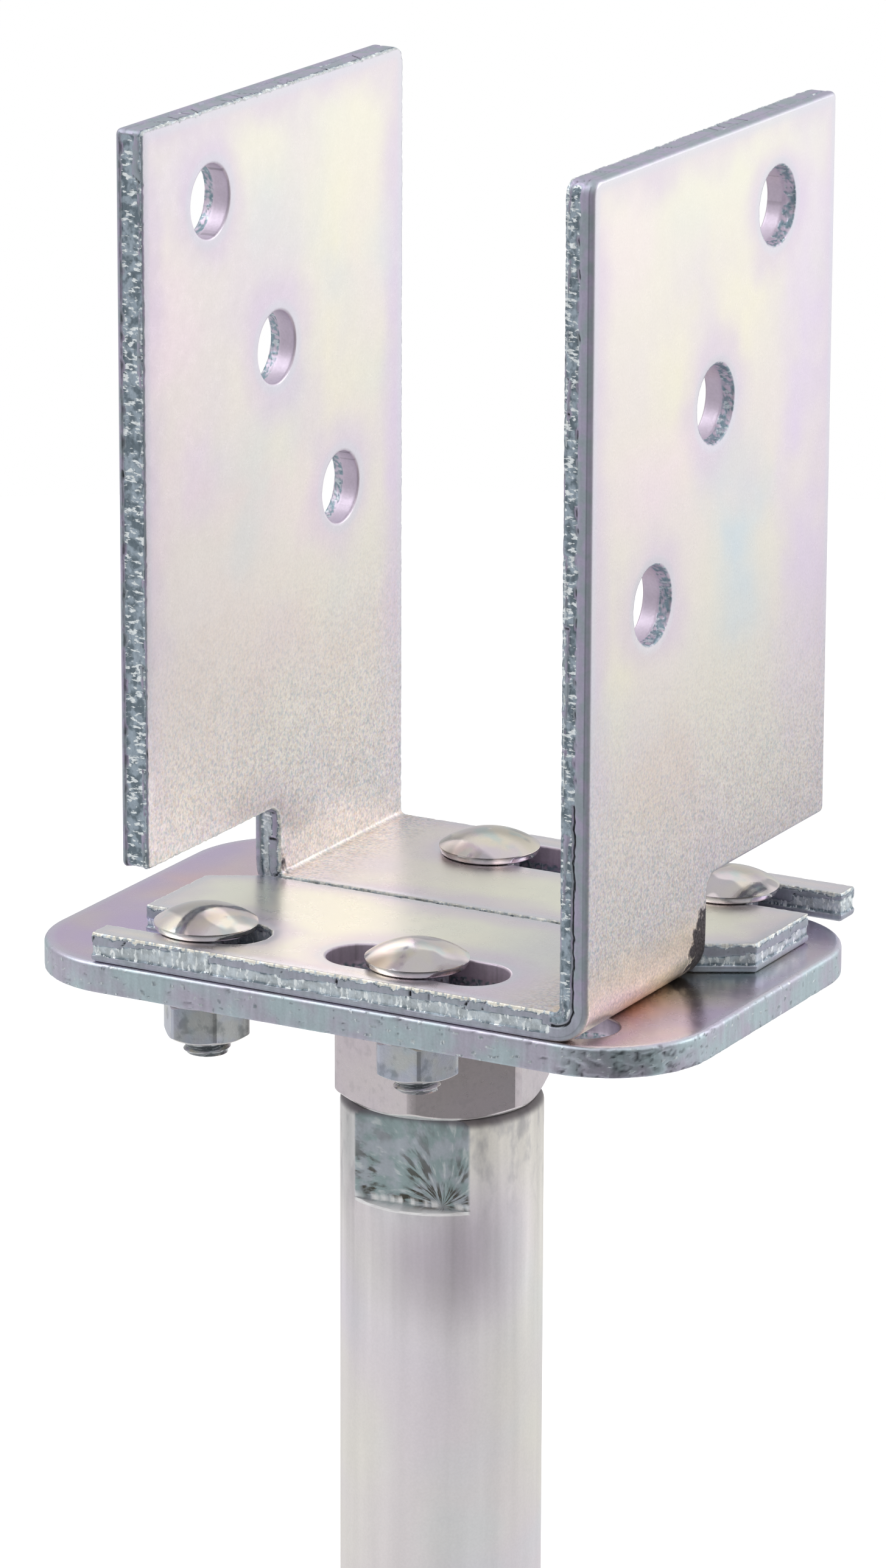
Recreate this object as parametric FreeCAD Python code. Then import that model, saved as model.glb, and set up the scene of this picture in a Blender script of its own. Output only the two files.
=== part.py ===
"""Adjustable timber post base: two sliding cheeks on a bolted plate, screwed into a ground tube.

Millimetres. +Z is up, and +X runs from the left cheek to the right one.
The origin is the centre of the ground tube's lower end.
"""
import FreeCAD
import Part

import math
import os

from FreeCAD import Vector

# Ground tube
tube_diameter = 33.7
tube_length = 200.0
tube_thread_depth = 45.0
tube_lower_bore = 24.0
tube_rim_radius = 1.3
tube_flats_across = 27.0
tube_flats_length = 15.4
tube_flats_angle = -82.0

# Spindle, its lock nut and its weld
spindle_diameter = 22.0
spindle_pitch = 2.5
spindle_end_diameter = 20.0
spindle_reach_in_tube = 84.0
spindle_point = 2.0
running_clearance = 0.05
lock_nut_across = 32.0
lock_nut_height = 18.0
lock_nut_corner_angle = -77.4
weld_height = 3.5
weld_foot_width = 2.0
weld_plate_width = 4.5

# Base plate
plate_length = 120.0
plate_depth = 80.0
plate_thickness = 5.0
plate_corner_radius = 18.0
plate_edge_break = 0.4
plate_hole_clearance = 4.3
plate_hole_from_side = 10.0
plate_inner_hole = 9.7
front_outer_hole_from_end = 30.5
rear_outer_hole_from_end = 24.9
spare_hole_from_end = 18.4

# Cheeks: two equal folded pieces, one turned half round
sheet = 5.0
bend_inner_radius = 1.0
cheek_height = 138.0
cheek_push = 2.4
left_cheek_setting = -7.6
right_cheek_setting = 0.1
seam_gap = 0.8
notch_height = 17.0
notch_radius = 3.0
neck_corner_radius = 2.5
free_corner_radius = 1.0
leg_corner_cut_along = 9.0
leg_corner_cut_across = 5.0
leg_past_open_slot_end = 20.4
slot_clearance = 4.2
slot_row_outset = 0.7
slot_from_leg_edge = 11.3
closed_slot_middle = 36.5
closed_slot_travel = 20.0
open_slot_inset = 5.1
screw_hole_diameter = 12.0
screw_hole_height = 95.0
screw_hole_rise = 28.0
screw_hole_side = 21.0

# Carriage bolts, washers and nuts
bolt_side_gap = 0.03
bolt_push_angle = 55.6
bolt_head_diameter = 17.0
bolt_head_height = 4.1
bolt_rim_height = 1.0
bolt_rim_tuck = 0.6
bolt_neck_width = 7.8
bolt_neck_depth = 4.6
bolt_shank_diameter = 7.7
bolt_thread_diameter = 7.2
bolt_thread_length = 12.0
bolt_length = 21.0
bolt_point = 0.6
washer_diameter = 16.0
washer_clearance = 1.2
washer_thickness = 1.6
nut_across = 13.0
nut_height = 6.5
nut_bore_clearance = 0.05
nut_chamfer_angle = 30.0
small_nut_corner_angles = {
    "front_left": 10.9,
    "front_middle": 1.2,
    "rear_middle": 25.0,
    "rear_right": 43.0,
}

# Holes and slots that take their size and place from the bolts and the plate
plate_hole_diameter = bolt_shank_diameter + plate_hole_clearance
washer_bore = bolt_thread_diameter + washer_clearance
slot_width = bolt_neck_width + slot_clearance
plate_hole_row = plate_depth / 2 - plate_hole_from_side
front_outer_hole = plate_length / 2 - front_outer_hole_from_end
rear_outer_hole = plate_length / 2 - rear_outer_hole_from_end
spare_hole = plate_length / 2 - spare_hole_from_end
slot_row = plate_hole_row + slot_row_outset
cheek_half_width = slot_row + slot_from_leg_edge
open_slot_end = closed_slot_middle + front_outer_hole + plate_inner_hole - open_slot_inset
leg_length = open_slot_end + leg_past_open_slot_end

# Heights that follow from the sizes above
tube_top = tube_length
lock_nut_top = tube_top + lock_nut_height
plate_bottom = lock_nut_top + weld_height
plate_top = plate_bottom + plate_thickness
leg_top = plate_top + sheet

# Bolt places: each bolt stands pushed against one side of its hole in the plate
plate_holes = {
    "front_left": Vector(-front_outer_hole, -plate_hole_row, 0),
    "front_middle": Vector(plate_inner_hole, -plate_hole_row, 0),
    "rear_middle": Vector(-plate_inner_hole, plate_hole_row, 0),
    "rear_right": Vector(rear_outer_hole, plate_hole_row, 0),
}
spare_holes = [
    Vector(spare_hole, -plate_hole_row, 0),
    Vector(-spare_hole, plate_hole_row, 0),
]
bolt_play = (plate_hole_diameter - bolt_shank_diameter) / 2 - bolt_side_gap
push_direction = math.radians(bolt_push_angle)
bolt_push = Vector(math.cos(push_direction), math.sin(push_direction), 0) * bolt_play
bolt_places = {name: place + bolt_push for name, place in plate_holes.items()}

# Outer faces of the cheeks, each set along its slots from the bolt in its closed slot
left_cheek_face = bolt_places["rear_middle"].x - closed_slot_middle - left_cheek_setting
right_cheek_face = bolt_places["front_middle"].x + closed_slot_middle + right_cheek_setting

UP = Vector(0, 0, 1)
ORIGIN = Vector(0, 0, 0)


def cylinder(radius, low, high, centre=ORIGIN):
    """Upright cylinder from height low to height high."""
    return Part.makeCylinder(radius, high - low, Vector(centre.x, centre.y, low), UP)


def block(low, high):
    """Upright block between two corners."""
    span = high - low
    return Part.makeBox(span.x, span.y, span.z, low)


def turned(points):
    """Solid turned about the Z axis from a closed profile of (radius, height) points."""
    corners = [Vector(radius, 0, height) for radius, height in points]
    profile = Part.Face(Part.makePolygon(corners + corners[:1]))
    return profile.revolve(ORIGIN, UP, 360)


def obround(start, end, radius, low, high):
    """Upright solid with round ends, from one centre to another along X."""
    middle = block(Vector(start.x, start.y - radius, low), Vector(end.x, start.y + radius, high))
    ends = [cylinder(radius, low, high, start), cylinder(radius, low, high, end)]
    return middle.multiFuse(ends).removeSplitter()


def edges_along(shape, direction, test):
    """Straight edges that run along a direction and whose middle passes a test."""
    chosen = []
    for edge in shape.Edges:
        if edge.Curve.TypeId != "Part::GeomLine":
            continue
        run = (edge.Vertexes[-1].Point - edge.Vertexes[0].Point).normalize()
        if abs(run.dot(direction)) > 0.999 and test(edge.CenterOfMass):
            chosen.append(edge)
    return chosen


def hexagon(across, height, corner_angle):
    """Hexagonal prism standing on Z=0, with a corner at the given angle."""
    corner = across / math.sqrt(3)
    points = []
    for step in range(6):
        angle = math.radians(corner_angle + 60 * step)
        points.append(Vector(corner * math.cos(angle), corner * math.sin(angle), 0))
    return Part.Face(Part.makePolygon(points + points[:1])).extrude(UP * height)


def hexagon_nut(across, height, bore_radius, corner_angle):
    """Nut standing on Z=0, with both faces chamfered to a circle inside its flats."""
    flat = across / 2
    corner = across / math.sqrt(3)
    drop = (corner - flat) * math.tan(math.radians(nut_chamfer_angle))
    reach = corner + (corner - flat)
    drop_at_reach = 2 * drop
    barrel = turned([
        (0, 0),
        (flat, 0),
        (reach, drop_at_reach),
        (reach, height - drop_at_reach),
        (flat, height),
        (0, height),
    ])
    nut = hexagon(across, height, corner_angle).common(barrel)
    return nut.cut(cylinder(bore_radius, -1, height + 1))


def make_ground_tube():
    """Thick-walled tube, threaded at its top end and flattened on two sides for a wrench."""
    outer = tube_diameter / 2
    tube = cylinder(outer, 0, tube_top)
    rims = [edge for edge in tube.Edges if abs(edge.BoundBox.ZMin - tube_top) < 0.01]
    tube = tube.makeFillet(tube_rim_radius, rims)
    threaded = cylinder(spindle_diameter / 2 + running_clearance, -1, tube_top + 1)
    lower = cylinder(tube_lower_bore / 2, -1, tube_top - tube_thread_depth)
    tube = tube.cut(threaded).cut(lower)
    flat = tube_flats_across / 2
    low = tube_top - tube_flats_length
    for side in (0, 180):
        cutter = block(Vector(flat, -outer, low), Vector(outer + 1, outer, tube_top + 1))
        cutter.rotate(ORIGIN, UP, tube_flats_angle + side)
        tube = tube.cut(cutter)
    return tube


def make_lock_nut():
    """Large hexagon nut that jams against the tube's top."""
    bore = spindle_diameter / 2 + running_clearance
    nut = hexagon_nut(lock_nut_across, lock_nut_height, bore, lock_nut_corner_angle)
    return nut.translated(UP * tube_top)


def make_spindle():
    """Screwed spindle, turned down at its upper end to sit in the plate."""
    foot = tube_top - spindle_reach_in_tube
    radius = spindle_diameter / 2
    end = spindle_end_diameter / 2
    return turned([
        (0, foot),
        (radius - spindle_point, foot),
        (radius, foot + spindle_point),
        (radius, plate_bottom),
        (end, plate_bottom),
        (end, plate_top),
        (0, plate_top),
    ])


def make_spindle_weld():
    """Weld ring round the spindle under the plate, flat where the lock nut meets it."""
    inner = spindle_diameter / 2 + running_clearance
    low = plate_bottom - weld_height
    return turned([
        (inner, low),
        (inner + weld_foot_width, low),
        (inner + weld_plate_width, plate_bottom),
        (inner, plate_bottom),
    ])


def make_base_plate():
    """Flat plate with rounded corners, two rows of bolt holes and a hole for the spindle."""
    half = Vector(plate_length / 2, plate_depth / 2, 0)
    plate = block(Vector(-half.x, -half.y, plate_bottom), Vector(half.x, half.y, plate_top))
    plate = plate.makeFillet(plate_corner_radius, edges_along(plate, UP, lambda point: True))
    rims = []
    for edge in plate.Edges:
        if edge.BoundBox.ZLength < 0.01:
            rims.append(edge)
    plate = plate.makeChamfer(plate_edge_break, rims)
    holes = list(plate_holes.values()) + spare_holes
    for place in holes:
        plate = plate.cut(cylinder(plate_hole_diameter / 2, plate_bottom - 1, plate_top + 1, place))
    return plate.cut(cylinder(spindle_end_diameter / 2, plate_bottom - 1, plate_top + 1))


def folded_profile():
    """L-shaped section of a cheek in the XZ plane: outer face at X=0, leg towards -X."""
    outer = bend_inner_radius + sheet
    centre = Vector(-outer, 0, outer)
    slope = math.sqrt(0.5)
    outer_middle = centre + Vector(slope, 0, -slope) * outer
    inner_middle = centre + Vector(slope, 0, -slope) * bend_inner_radius
    outer_top = Vector(0, 0, outer)
    outer_foot = Vector(-outer, 0, 0)
    inner_top = Vector(-sheet, 0, outer)
    inner_foot = Vector(-outer, 0, sheet)
    edges = [
        Part.LineSegment(Vector(0, 0, cheek_height), outer_top).toShape(),
        Part.Arc(outer_top, outer_middle, outer_foot).toShape(),
        Part.LineSegment(outer_foot, Vector(-leg_length, 0, 0)).toShape(),
        Part.LineSegment(Vector(-leg_length, 0, 0), Vector(-leg_length, 0, sheet)).toShape(),
        Part.LineSegment(Vector(-leg_length, 0, sheet), inner_foot).toShape(),
        Part.Arc(inner_foot, inner_middle, inner_top).toShape(),
        Part.LineSegment(inner_top, Vector(-sheet, 0, cheek_height)).toShape(),
        Part.LineSegment(Vector(-sheet, 0, cheek_height), Vector(0, 0, cheek_height)).toShape(),
    ]
    return Part.Face(Part.Wire(edges))


def cut_notch(cheek):
    """Free the half of the foot where the other cheek's leg passes through."""
    seam = -seam_gap / 2
    notch = block(
        Vector(-leg_length - 1, seam, -1), Vector(1, cheek_half_width + 1, notch_height))
    inner_edge = edges_along(
        notch,
        Vector(1, 0, 0),
        lambda point: abs(point.y - seam) < 0.01 and abs(point.z - notch_height) < 0.01,
    )
    return cheek.cut(notch.makeFillet(notch_radius, inner_edge))


def round_cheek_corners(cheek):
    """Round the upright's outer corners, most on the side that carries the leg."""
    across = Vector(1, 0, 0)
    neck_corner = edges_along(
        cheek, across, lambda point: point.z > cheek_height - 0.01 and point.y < 0)
    cheek = cheek.makeFillet(neck_corner_radius, neck_corner)
    free_corners = edges_along(
        cheek,
        across,
        lambda point: point.y > cheek_half_width - 0.01
        and (point.z > cheek_height - 0.01 or abs(point.z - notch_height) < 0.01),
    )
    return cheek.makeFillet(free_corner_radius, free_corners)


def cut_leg(cheek):
    """Cut the closed slot, the open-ended slot and the leg's clipped corner."""
    radius = slot_width / 2
    low = -1
    high = sheet + 1
    far = Vector(-closed_slot_middle - closed_slot_travel / 2, -slot_row, 0)
    near = Vector(-closed_slot_middle + closed_slot_travel / 2, -slot_row, 0)
    closed = obround(far, near, radius, low, high)
    outside = Vector(-leg_length - slot_width, -slot_row, 0)
    slot_end = Vector(-open_slot_end, -slot_row, 0)
    open_ended = obround(outside, slot_end, radius, low, high)
    seam = -seam_gap / 2
    corner = [
        Vector(-leg_length, seam - leg_corner_cut_across, low),
        Vector(-leg_length + leg_corner_cut_along, seam, low),
        Vector(-leg_length + leg_corner_cut_along, seam + 1, low),
        Vector(-leg_length - 1, seam + 1, low),
        Vector(-leg_length - 1, seam - leg_corner_cut_across, low),
    ]
    clip = Part.Face(Part.makePolygon(corner + corner[:1])).extrude(UP * (high - low))
    return cheek.cut(closed).cut(open_ended).cut(clip)


def cut_screw_holes(cheek):
    """Three screw holes on a slope across the upright."""
    for step in (-1, 0, 1):
        place = Vector(-sheet - 1, step * screw_hole_side, screw_hole_height + step * screw_hole_rise)
        hole = Part.makeCylinder(screw_hole_diameter / 2, sheet + 2, place, Vector(1, 0, 0))
        cheek = cheek.cut(hole)
    return cheek


def make_cheek():
    """One cheek in its own frame: outer face at X=0, seam at Y=0, leg resting on Z=0."""
    cheek = folded_profile().extrude(Vector(0, 2 * cheek_half_width, 0))
    cheek.translate(Vector(0, -cheek_half_width, 0))
    cheek = cut_notch(cheek)
    cheek = round_cheek_corners(cheek)
    cheek = cut_leg(cheek)
    return cut_screw_holes(cheek)


def place_cheek(cheek, face, turn):
    """Copy of a cheek with its outer face at X=face, standing on the plate."""
    placed = cheek.copy()
    placed.rotate(ORIGIN, UP, turn)
    placed.translate(Vector(face, cheek_push, plate_top))
    return placed


def make_bolt():
    """Carriage bolt hanging down from Z=0, the underside of its domed head."""
    rim = bolt_head_diameter / 2
    tucked = rim - bolt_rim_tuck
    low_middle = Vector(rim - bolt_rim_tuck * 0.3, 0, bolt_rim_height * 0.35)
    dome_rise = bolt_head_height - bolt_rim_height
    dome_radius = (rim ** 2 + dome_rise ** 2) / (2 * dome_rise)
    half_angle = math.asin(rim / dome_radius) / 2
    dome_centre = bolt_head_height - dome_radius
    dome_middle = Vector(
        dome_radius * math.sin(half_angle), 0, dome_centre + dome_radius * math.cos(half_angle))
    foot = Vector(tucked, 0, 0)
    edge = Vector(rim, 0, bolt_rim_height)
    crown = Vector(0, 0, bolt_head_height)
    profile = Part.Wire([
        Part.LineSegment(ORIGIN, foot).toShape(),
        Part.Arc(foot, low_middle, edge).toShape(),
        Part.Arc(edge, dome_middle, crown).toShape(),
        Part.LineSegment(crown, ORIGIN).toShape(),
    ])
    head = Part.Face(profile).revolve(ORIGIN, UP, 360)
    half_neck = bolt_neck_width / 2
    neck = block(Vector(-half_neck, -half_neck, -bolt_neck_depth), Vector(half_neck, half_neck, 0))
    shank = bolt_shank_diameter / 2
    thread = bolt_thread_diameter / 2
    thread_start = -bolt_length + bolt_thread_length
    stem = turned([
        (0, 0),
        (shank, 0),
        (shank, thread_start),
        (thread, thread_start),
        (thread, -bolt_length + bolt_point),
        (thread - bolt_point, -bolt_length),
        (0, -bolt_length),
    ])
    return head.multiFuse([neck, stem]).removeSplitter()


def make_washer():
    """Plain washer whose upper face is at Z=0."""
    ring = cylinder(washer_diameter / 2, -washer_thickness, 0)
    return ring.cut(cylinder(washer_bore / 2, -washer_thickness - 1, 1))


def make_small_nut(corner_angle):
    """Nut of a carriage bolt whose upper face is at Z=0."""
    bore = bolt_thread_diameter / 2 + nut_bore_clearance
    nut = hexagon_nut(nut_across, nut_height, bore, corner_angle)
    return nut.translated(Vector(0, 0, -nut_height))


def make_fasteners():
    """The four bolts with their washers and nuts, by node name."""
    pieces = {}
    for name, place in bolt_places.items():
        pieces[name + "_bolt"] = make_bolt().translated(place + UP * leg_top)
        pieces[name + "_washer"] = make_washer().translated(place + UP * plate_bottom)
        nut_top = plate_bottom - washer_thickness
        nut = make_small_nut(small_nut_corner_angles[name])
        pieces[name + "_nut"] = nut.translated(place + UP * nut_top)
    return pieces


def make_pieces():
    """Every piece of the post base, by node name."""
    cheek = make_cheek()
    pieces = {
        "ground_tube": make_ground_tube(),
        "lock_nut": make_lock_nut(),
        "spindle": make_spindle(),
        "spindle_weld": make_spindle_weld(),
        "base_plate": make_base_plate(),
        "left_cheek": place_cheek(cheek, left_cheek_face, 180),
        "right_cheek": place_cheek(cheek, right_cheek_face, 0),
    }
    pieces.update(make_fasteners())
    return pieces


def main():
    """Write each piece as a STEP file and report its volume."""
    os.makedirs("parts", exist_ok=True)
    for name, shape in make_pieces().items():
        solid = shape.Solids[0] if len(shape.Solids) == 1 else shape
        solid.exportStep(os.path.join("parts", name + ".step"))
        print(f"{name}: {len(shape.Solids)} solid, {shape.Volume:.1f} mm3, valid {shape.isValid()}")


main()
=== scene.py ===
"""The looks of an adjustable timber post base in zinc-plated steel.

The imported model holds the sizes, the places and the joints. This script adds what the shears, the punch,
the taps and the plating bath leave on the steel: rolled and torn edges, punched holes, screw threads, a weld
bead, milled wrench flats and a pale iridescent passivation. Shapes are worked out in millimetres, in the
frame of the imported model, and stored in metres.
"""
from __future__ import annotations

import logging
import math
import random
from dataclasses import dataclass, field
from enum import Enum, IntEnum
from typing import Callable, Union

import bpy
import numpy as np
from mathutils import Matrix, Vector, noise
from mathutils.geometry import delaunay_2d_cdt
from mathutils.kdtree import KDTree

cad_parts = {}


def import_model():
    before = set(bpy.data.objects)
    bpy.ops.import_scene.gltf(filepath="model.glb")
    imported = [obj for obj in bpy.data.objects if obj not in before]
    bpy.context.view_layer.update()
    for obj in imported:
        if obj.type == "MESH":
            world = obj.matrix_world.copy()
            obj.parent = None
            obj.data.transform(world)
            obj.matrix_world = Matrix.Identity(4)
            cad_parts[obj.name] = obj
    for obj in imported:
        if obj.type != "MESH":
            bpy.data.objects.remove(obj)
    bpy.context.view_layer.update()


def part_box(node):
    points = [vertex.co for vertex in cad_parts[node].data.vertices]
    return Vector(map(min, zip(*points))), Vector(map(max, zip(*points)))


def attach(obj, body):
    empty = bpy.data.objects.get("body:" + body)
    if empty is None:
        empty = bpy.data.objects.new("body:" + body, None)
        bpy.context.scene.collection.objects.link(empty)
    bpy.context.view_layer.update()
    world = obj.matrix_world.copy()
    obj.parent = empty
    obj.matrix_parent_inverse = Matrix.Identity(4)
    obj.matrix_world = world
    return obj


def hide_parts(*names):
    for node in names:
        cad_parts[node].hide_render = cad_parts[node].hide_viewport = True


LOG = logging.getLogger("post_base")
MM = 0.001
FULL_TURN = 2 * math.pi
HAIR = 1e-6
ENDLESS = 1e9


def smooth_step(value: float, low: float, high: float) -> float:
    """Return 0 below low, 1 above high and a smooth rise between them."""
    share = min(max((value - low) / (high - low), 0.0), 1.0)
    return share * share * (3 - 2 * share)


def grit(x: float, y: float, seed: float) -> float:
    """Return smooth noise from about -1 to 1 at a point, in noise cells."""
    return noise.noise(Vector((x, y, seed)))


def box_mm(node: str) -> tuple[Vector, Vector]:
    """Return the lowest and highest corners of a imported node, in millimetres."""
    low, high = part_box(node)
    return low / MM, high / MM


def centre_mm(node: str) -> Vector:
    """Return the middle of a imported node's box, in millimetres."""
    low, high = box_mm(node)
    return (low + high) / 2


class CutKind(Enum):
    """How an edge or a hole was cut from the sheet."""

    SHEARED = "sheared"
    PUNCHED = "punched"
    BLANKED = "blanked"


class Thread(Enum):
    """Screw threads of this part, by nominal size."""

    M8 = "M8"
    M22 = "M22"


class Tint(Enum):
    """Colours that the passivation drifts through on the cheeks' faces, and the names of their marks."""

    CREAM = "cream"
    ROSE = "rose"
    LILAC = "lilac"
    AQUA = "aqua"
    TAN = "tan"


class Layer(IntEnum):
    """Layers of noise in the finishes. Each is drawn from its own stretch of the noise."""

    WARM = 1
    COOL = 2
    CLEAR = 3
    GRAIN = 4
    CLOUD = 5
    PEEL = 6
    BROAD_PEEL = 7
    GLOSS = 8
    RIM_WANDER = 11
    FOLD_WANDER = 12
    FLECK = 13
    CRYSTAL = 14
    COARSE = 15
    HATCH = 16
    SWAY = 18
    SOOT = 19
    WALL_STREAK = 20
    DRAWN_STREAK = 21
    RUN = 22
    MILLED = 23
    STROKE = 24
    SMEAR = 25
    STAIN = 31
    WEDGE = 32
    SPECK = 41


THREAD_PITCH = {Thread.M8: 1.25, Thread.M22: 2.5}
THREAD_DEPTH = {Thread.M8: 0.55, Thread.M22: 1.3}


class Value:
    """A number, colour or vector in a node tree. Operators on it add Math nodes."""

    def __init__(self, graph: Graph, socket: bpy.types.NodeSocket) -> None:
        """Wrap an output socket of a node in the graph."""
        self.graph = graph
        self.socket = socket

    def __add__(self, other: Operand) -> Value:
        """Return the sum."""
        return self.graph.maths("ADD", self, other)

    def __radd__(self, other: Operand) -> Value:
        """Return the sum, with a plain number first."""
        return self.graph.maths("ADD", other, self)

    def __sub__(self, other: Operand) -> Value:
        """Return the difference."""
        return self.graph.maths("SUBTRACT", self, other)

    def __rsub__(self, other: Operand) -> Value:
        """Return the difference, with a plain number first."""
        return self.graph.maths("SUBTRACT", other, self)

    def __mul__(self, other: Operand) -> Value:
        """Return the product."""
        return self.graph.maths("MULTIPLY", self, other)

    def __rmul__(self, other: Operand) -> Value:
        """Return the product, with a plain number first."""
        return self.graph.maths("MULTIPLY", other, self)

    def __truediv__(self, other: Operand) -> Value:
        """Return the quotient."""
        return self.graph.maths("DIVIDE", self, other)

    def __rtruediv__(self, other: Operand) -> Value:
        """Return the quotient, with a plain number first."""
        return self.graph.maths("DIVIDE", other, self)

    def rise(self, low: float, high: float) -> Value:
        """Return 0 below low, 1 above high and a smooth rise between them."""
        return self.graph.node(
            "ShaderNodeMapRange",
            {"interpolation_type": "SMOOTHSTEP"},
            {0: self, 1: low, 2: high, 3: 0.0, 4: 1.0},
        )

    def fall(self, low: float, high: float) -> Value:
        """Return 1 below low, 0 above high and a smooth fall between them."""
        return 1 - self.rise(low, high)


Operand = Union[Value, float]
Colour = tuple[int, int, int]


def linear(colour: Colour) -> tuple[float, float, float, float]:
    """Return a screen colour of 0 to 255 a channel as the linear colour that shaders use."""
    channels = [((part / 255 + 0.055) / 1.055) ** 2.4 for part in colour]
    return (*channels, 1.0)


class Graph:
    """A node tree, with the few helpers that every material here uses."""

    def __init__(self, tree: bpy.types.NodeTree) -> None:
        """Empty the tree, ready for new nodes."""
        self.tree = tree
        tree.nodes.clear()

    def node(
        self,
        kind: str,
        settings: dict[str, object] | None = None,
        inputs: dict[str | int, object] | None = None,
        output: str | int = 0,
    ) -> Value | None:
        """Add a node.

        Args:
            kind: The node's type.
            settings: Its properties, set first; "stops" are a ramp's places and colours.
            inputs: Values or links of its input sockets, by name or number.
            output: The output socket to return, by name or number.

        Returns:
            The chosen output, or None from a node that has none.
        """
        added = self.tree.nodes.new(kind)
        for name, setting in (settings or {}).items():
            if name == "stops":
                ramp = added.color_ramp
                for position, colour in setting[1:-1]:
                    ramp.elements.new(position).color = colour
                ramp.elements[0].position, ramp.elements[0].color = setting[0]
                ramp.elements[-1].position, ramp.elements[-1].color = setting[-1]
            else:
                setattr(added, name, setting)
        for name, value in (inputs or {}).items():
            if isinstance(value, Value):
                self.tree.links.new(value.socket, added.inputs[name])
            else:
                added.inputs[name].default_value = value
        return Value(self, added.outputs[output]) if added.outputs else None

    def maths(self, operation: str, first: Operand, second: Operand) -> Value:
        """Return a Math node's result for two numbers or values."""
        return self.node("ShaderNodeMath", {"operation": operation}, {0: first, 1: second})

    def vector(self, operation: str, first: object, second: object, output: str = "Vector") -> Value:
        """Return a Vector Math node's result for two vectors."""
        return self.node("ShaderNodeVectorMath", {"operation": operation}, {0: first, 1: second}, output)

    def mix(self, factor: Operand, first: object, second: object, blend: str = "MIX") -> Value:
        """Return the first colour blended towards the second by the factor."""
        settings = {"data_type": "RGBA", "blend_type": blend, "clamp_factor": True}
        return self.node("ShaderNodeMix", settings, {0: factor, 6: first, 7: second}, 2)


class Surface(Graph):
    """The node tree of a material, with places on the object measured in millimetres."""

    def __init__(self, name: str) -> None:
        """Make the material and its place input."""
        self.material = bpy.data.materials.new(name)
        self.material.use_nodes = True
        super().__init__(self.material.node_tree)
        place = self.node("ShaderNodeTexCoord", output="Object")
        self.place = self.vector("MULTIPLY", place, (1 / MM, 1 / MM, 1 / MM))

    def noise(
        self,
        size: float,
        detail: float = 2.0,
        stretch: tuple[float, float, float] = (1, 1, 1),
        seed: float = 0.0,
        distortion: float = 0.0,
    ) -> Value:
        """Return soft noise from about 0.25 to 0.75.

        Args:
            size: The width of its largest blotches in millimetres.
            detail: How many finer layers it has.
            stretch: Multiplies the place first, so a small number draws the noise out along that axis.
            seed: Moves to another stretch of noise.
            distortion: How much the blotches swirl.

        Returns:
            The noise as a value.
        """
        drawn = self.vector("MULTIPLY", self.place, stretch)
        moved = self.vector("ADD", drawn, (17.3 * seed, 5.1 * seed, 9.7 * seed))
        inputs = {"Vector": moved, "Scale": 1 / size, "Detail": detail, "Distortion": distortion}
        return self.node("ShaderNodeTexNoise", None, inputs)

    def mark(self, name: str) -> Value:
        """Return a number that the mesh holds at its points."""
        return self.node("ShaderNodeAttribute", {"attribute_name": name}, None, "Fac")

    def height(self, axis: str) -> Value:
        """Return the place along one axis, in millimetres."""
        return self.node("ShaderNodeSeparateXYZ", None, {0: self.place}, axis)

    def grey(self, level: Value) -> Value:
        """Return a number as a grey colour."""
        return self.node("ShaderNodeCombineXYZ", None, {0: level, 1: level, 2: level})

    def bump(self, relief: Value, depth: float) -> Value:
        """Return the normal that a relief of this depth in millimetres gives."""
        inputs = {"Height": relief, "Strength": 1.0, "Distance": depth * MM}
        return self.node("ShaderNodeBump", None, inputs)

    def finish(
        self, colour: Value, roughness: Value, normal: Value, metallic: Operand
    ) -> bpy.types.Material:
        """Wire the steel's shader and return the material."""
        inputs = {"Base Color": colour, "Roughness": roughness, "Metallic": metallic, "Normal": normal}
        shader = self.node("ShaderNodeBsdfPrincipled", None, inputs)
        self.node("ShaderNodeOutputMaterial", None, {"Surface": shader})
        return self.material


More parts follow.
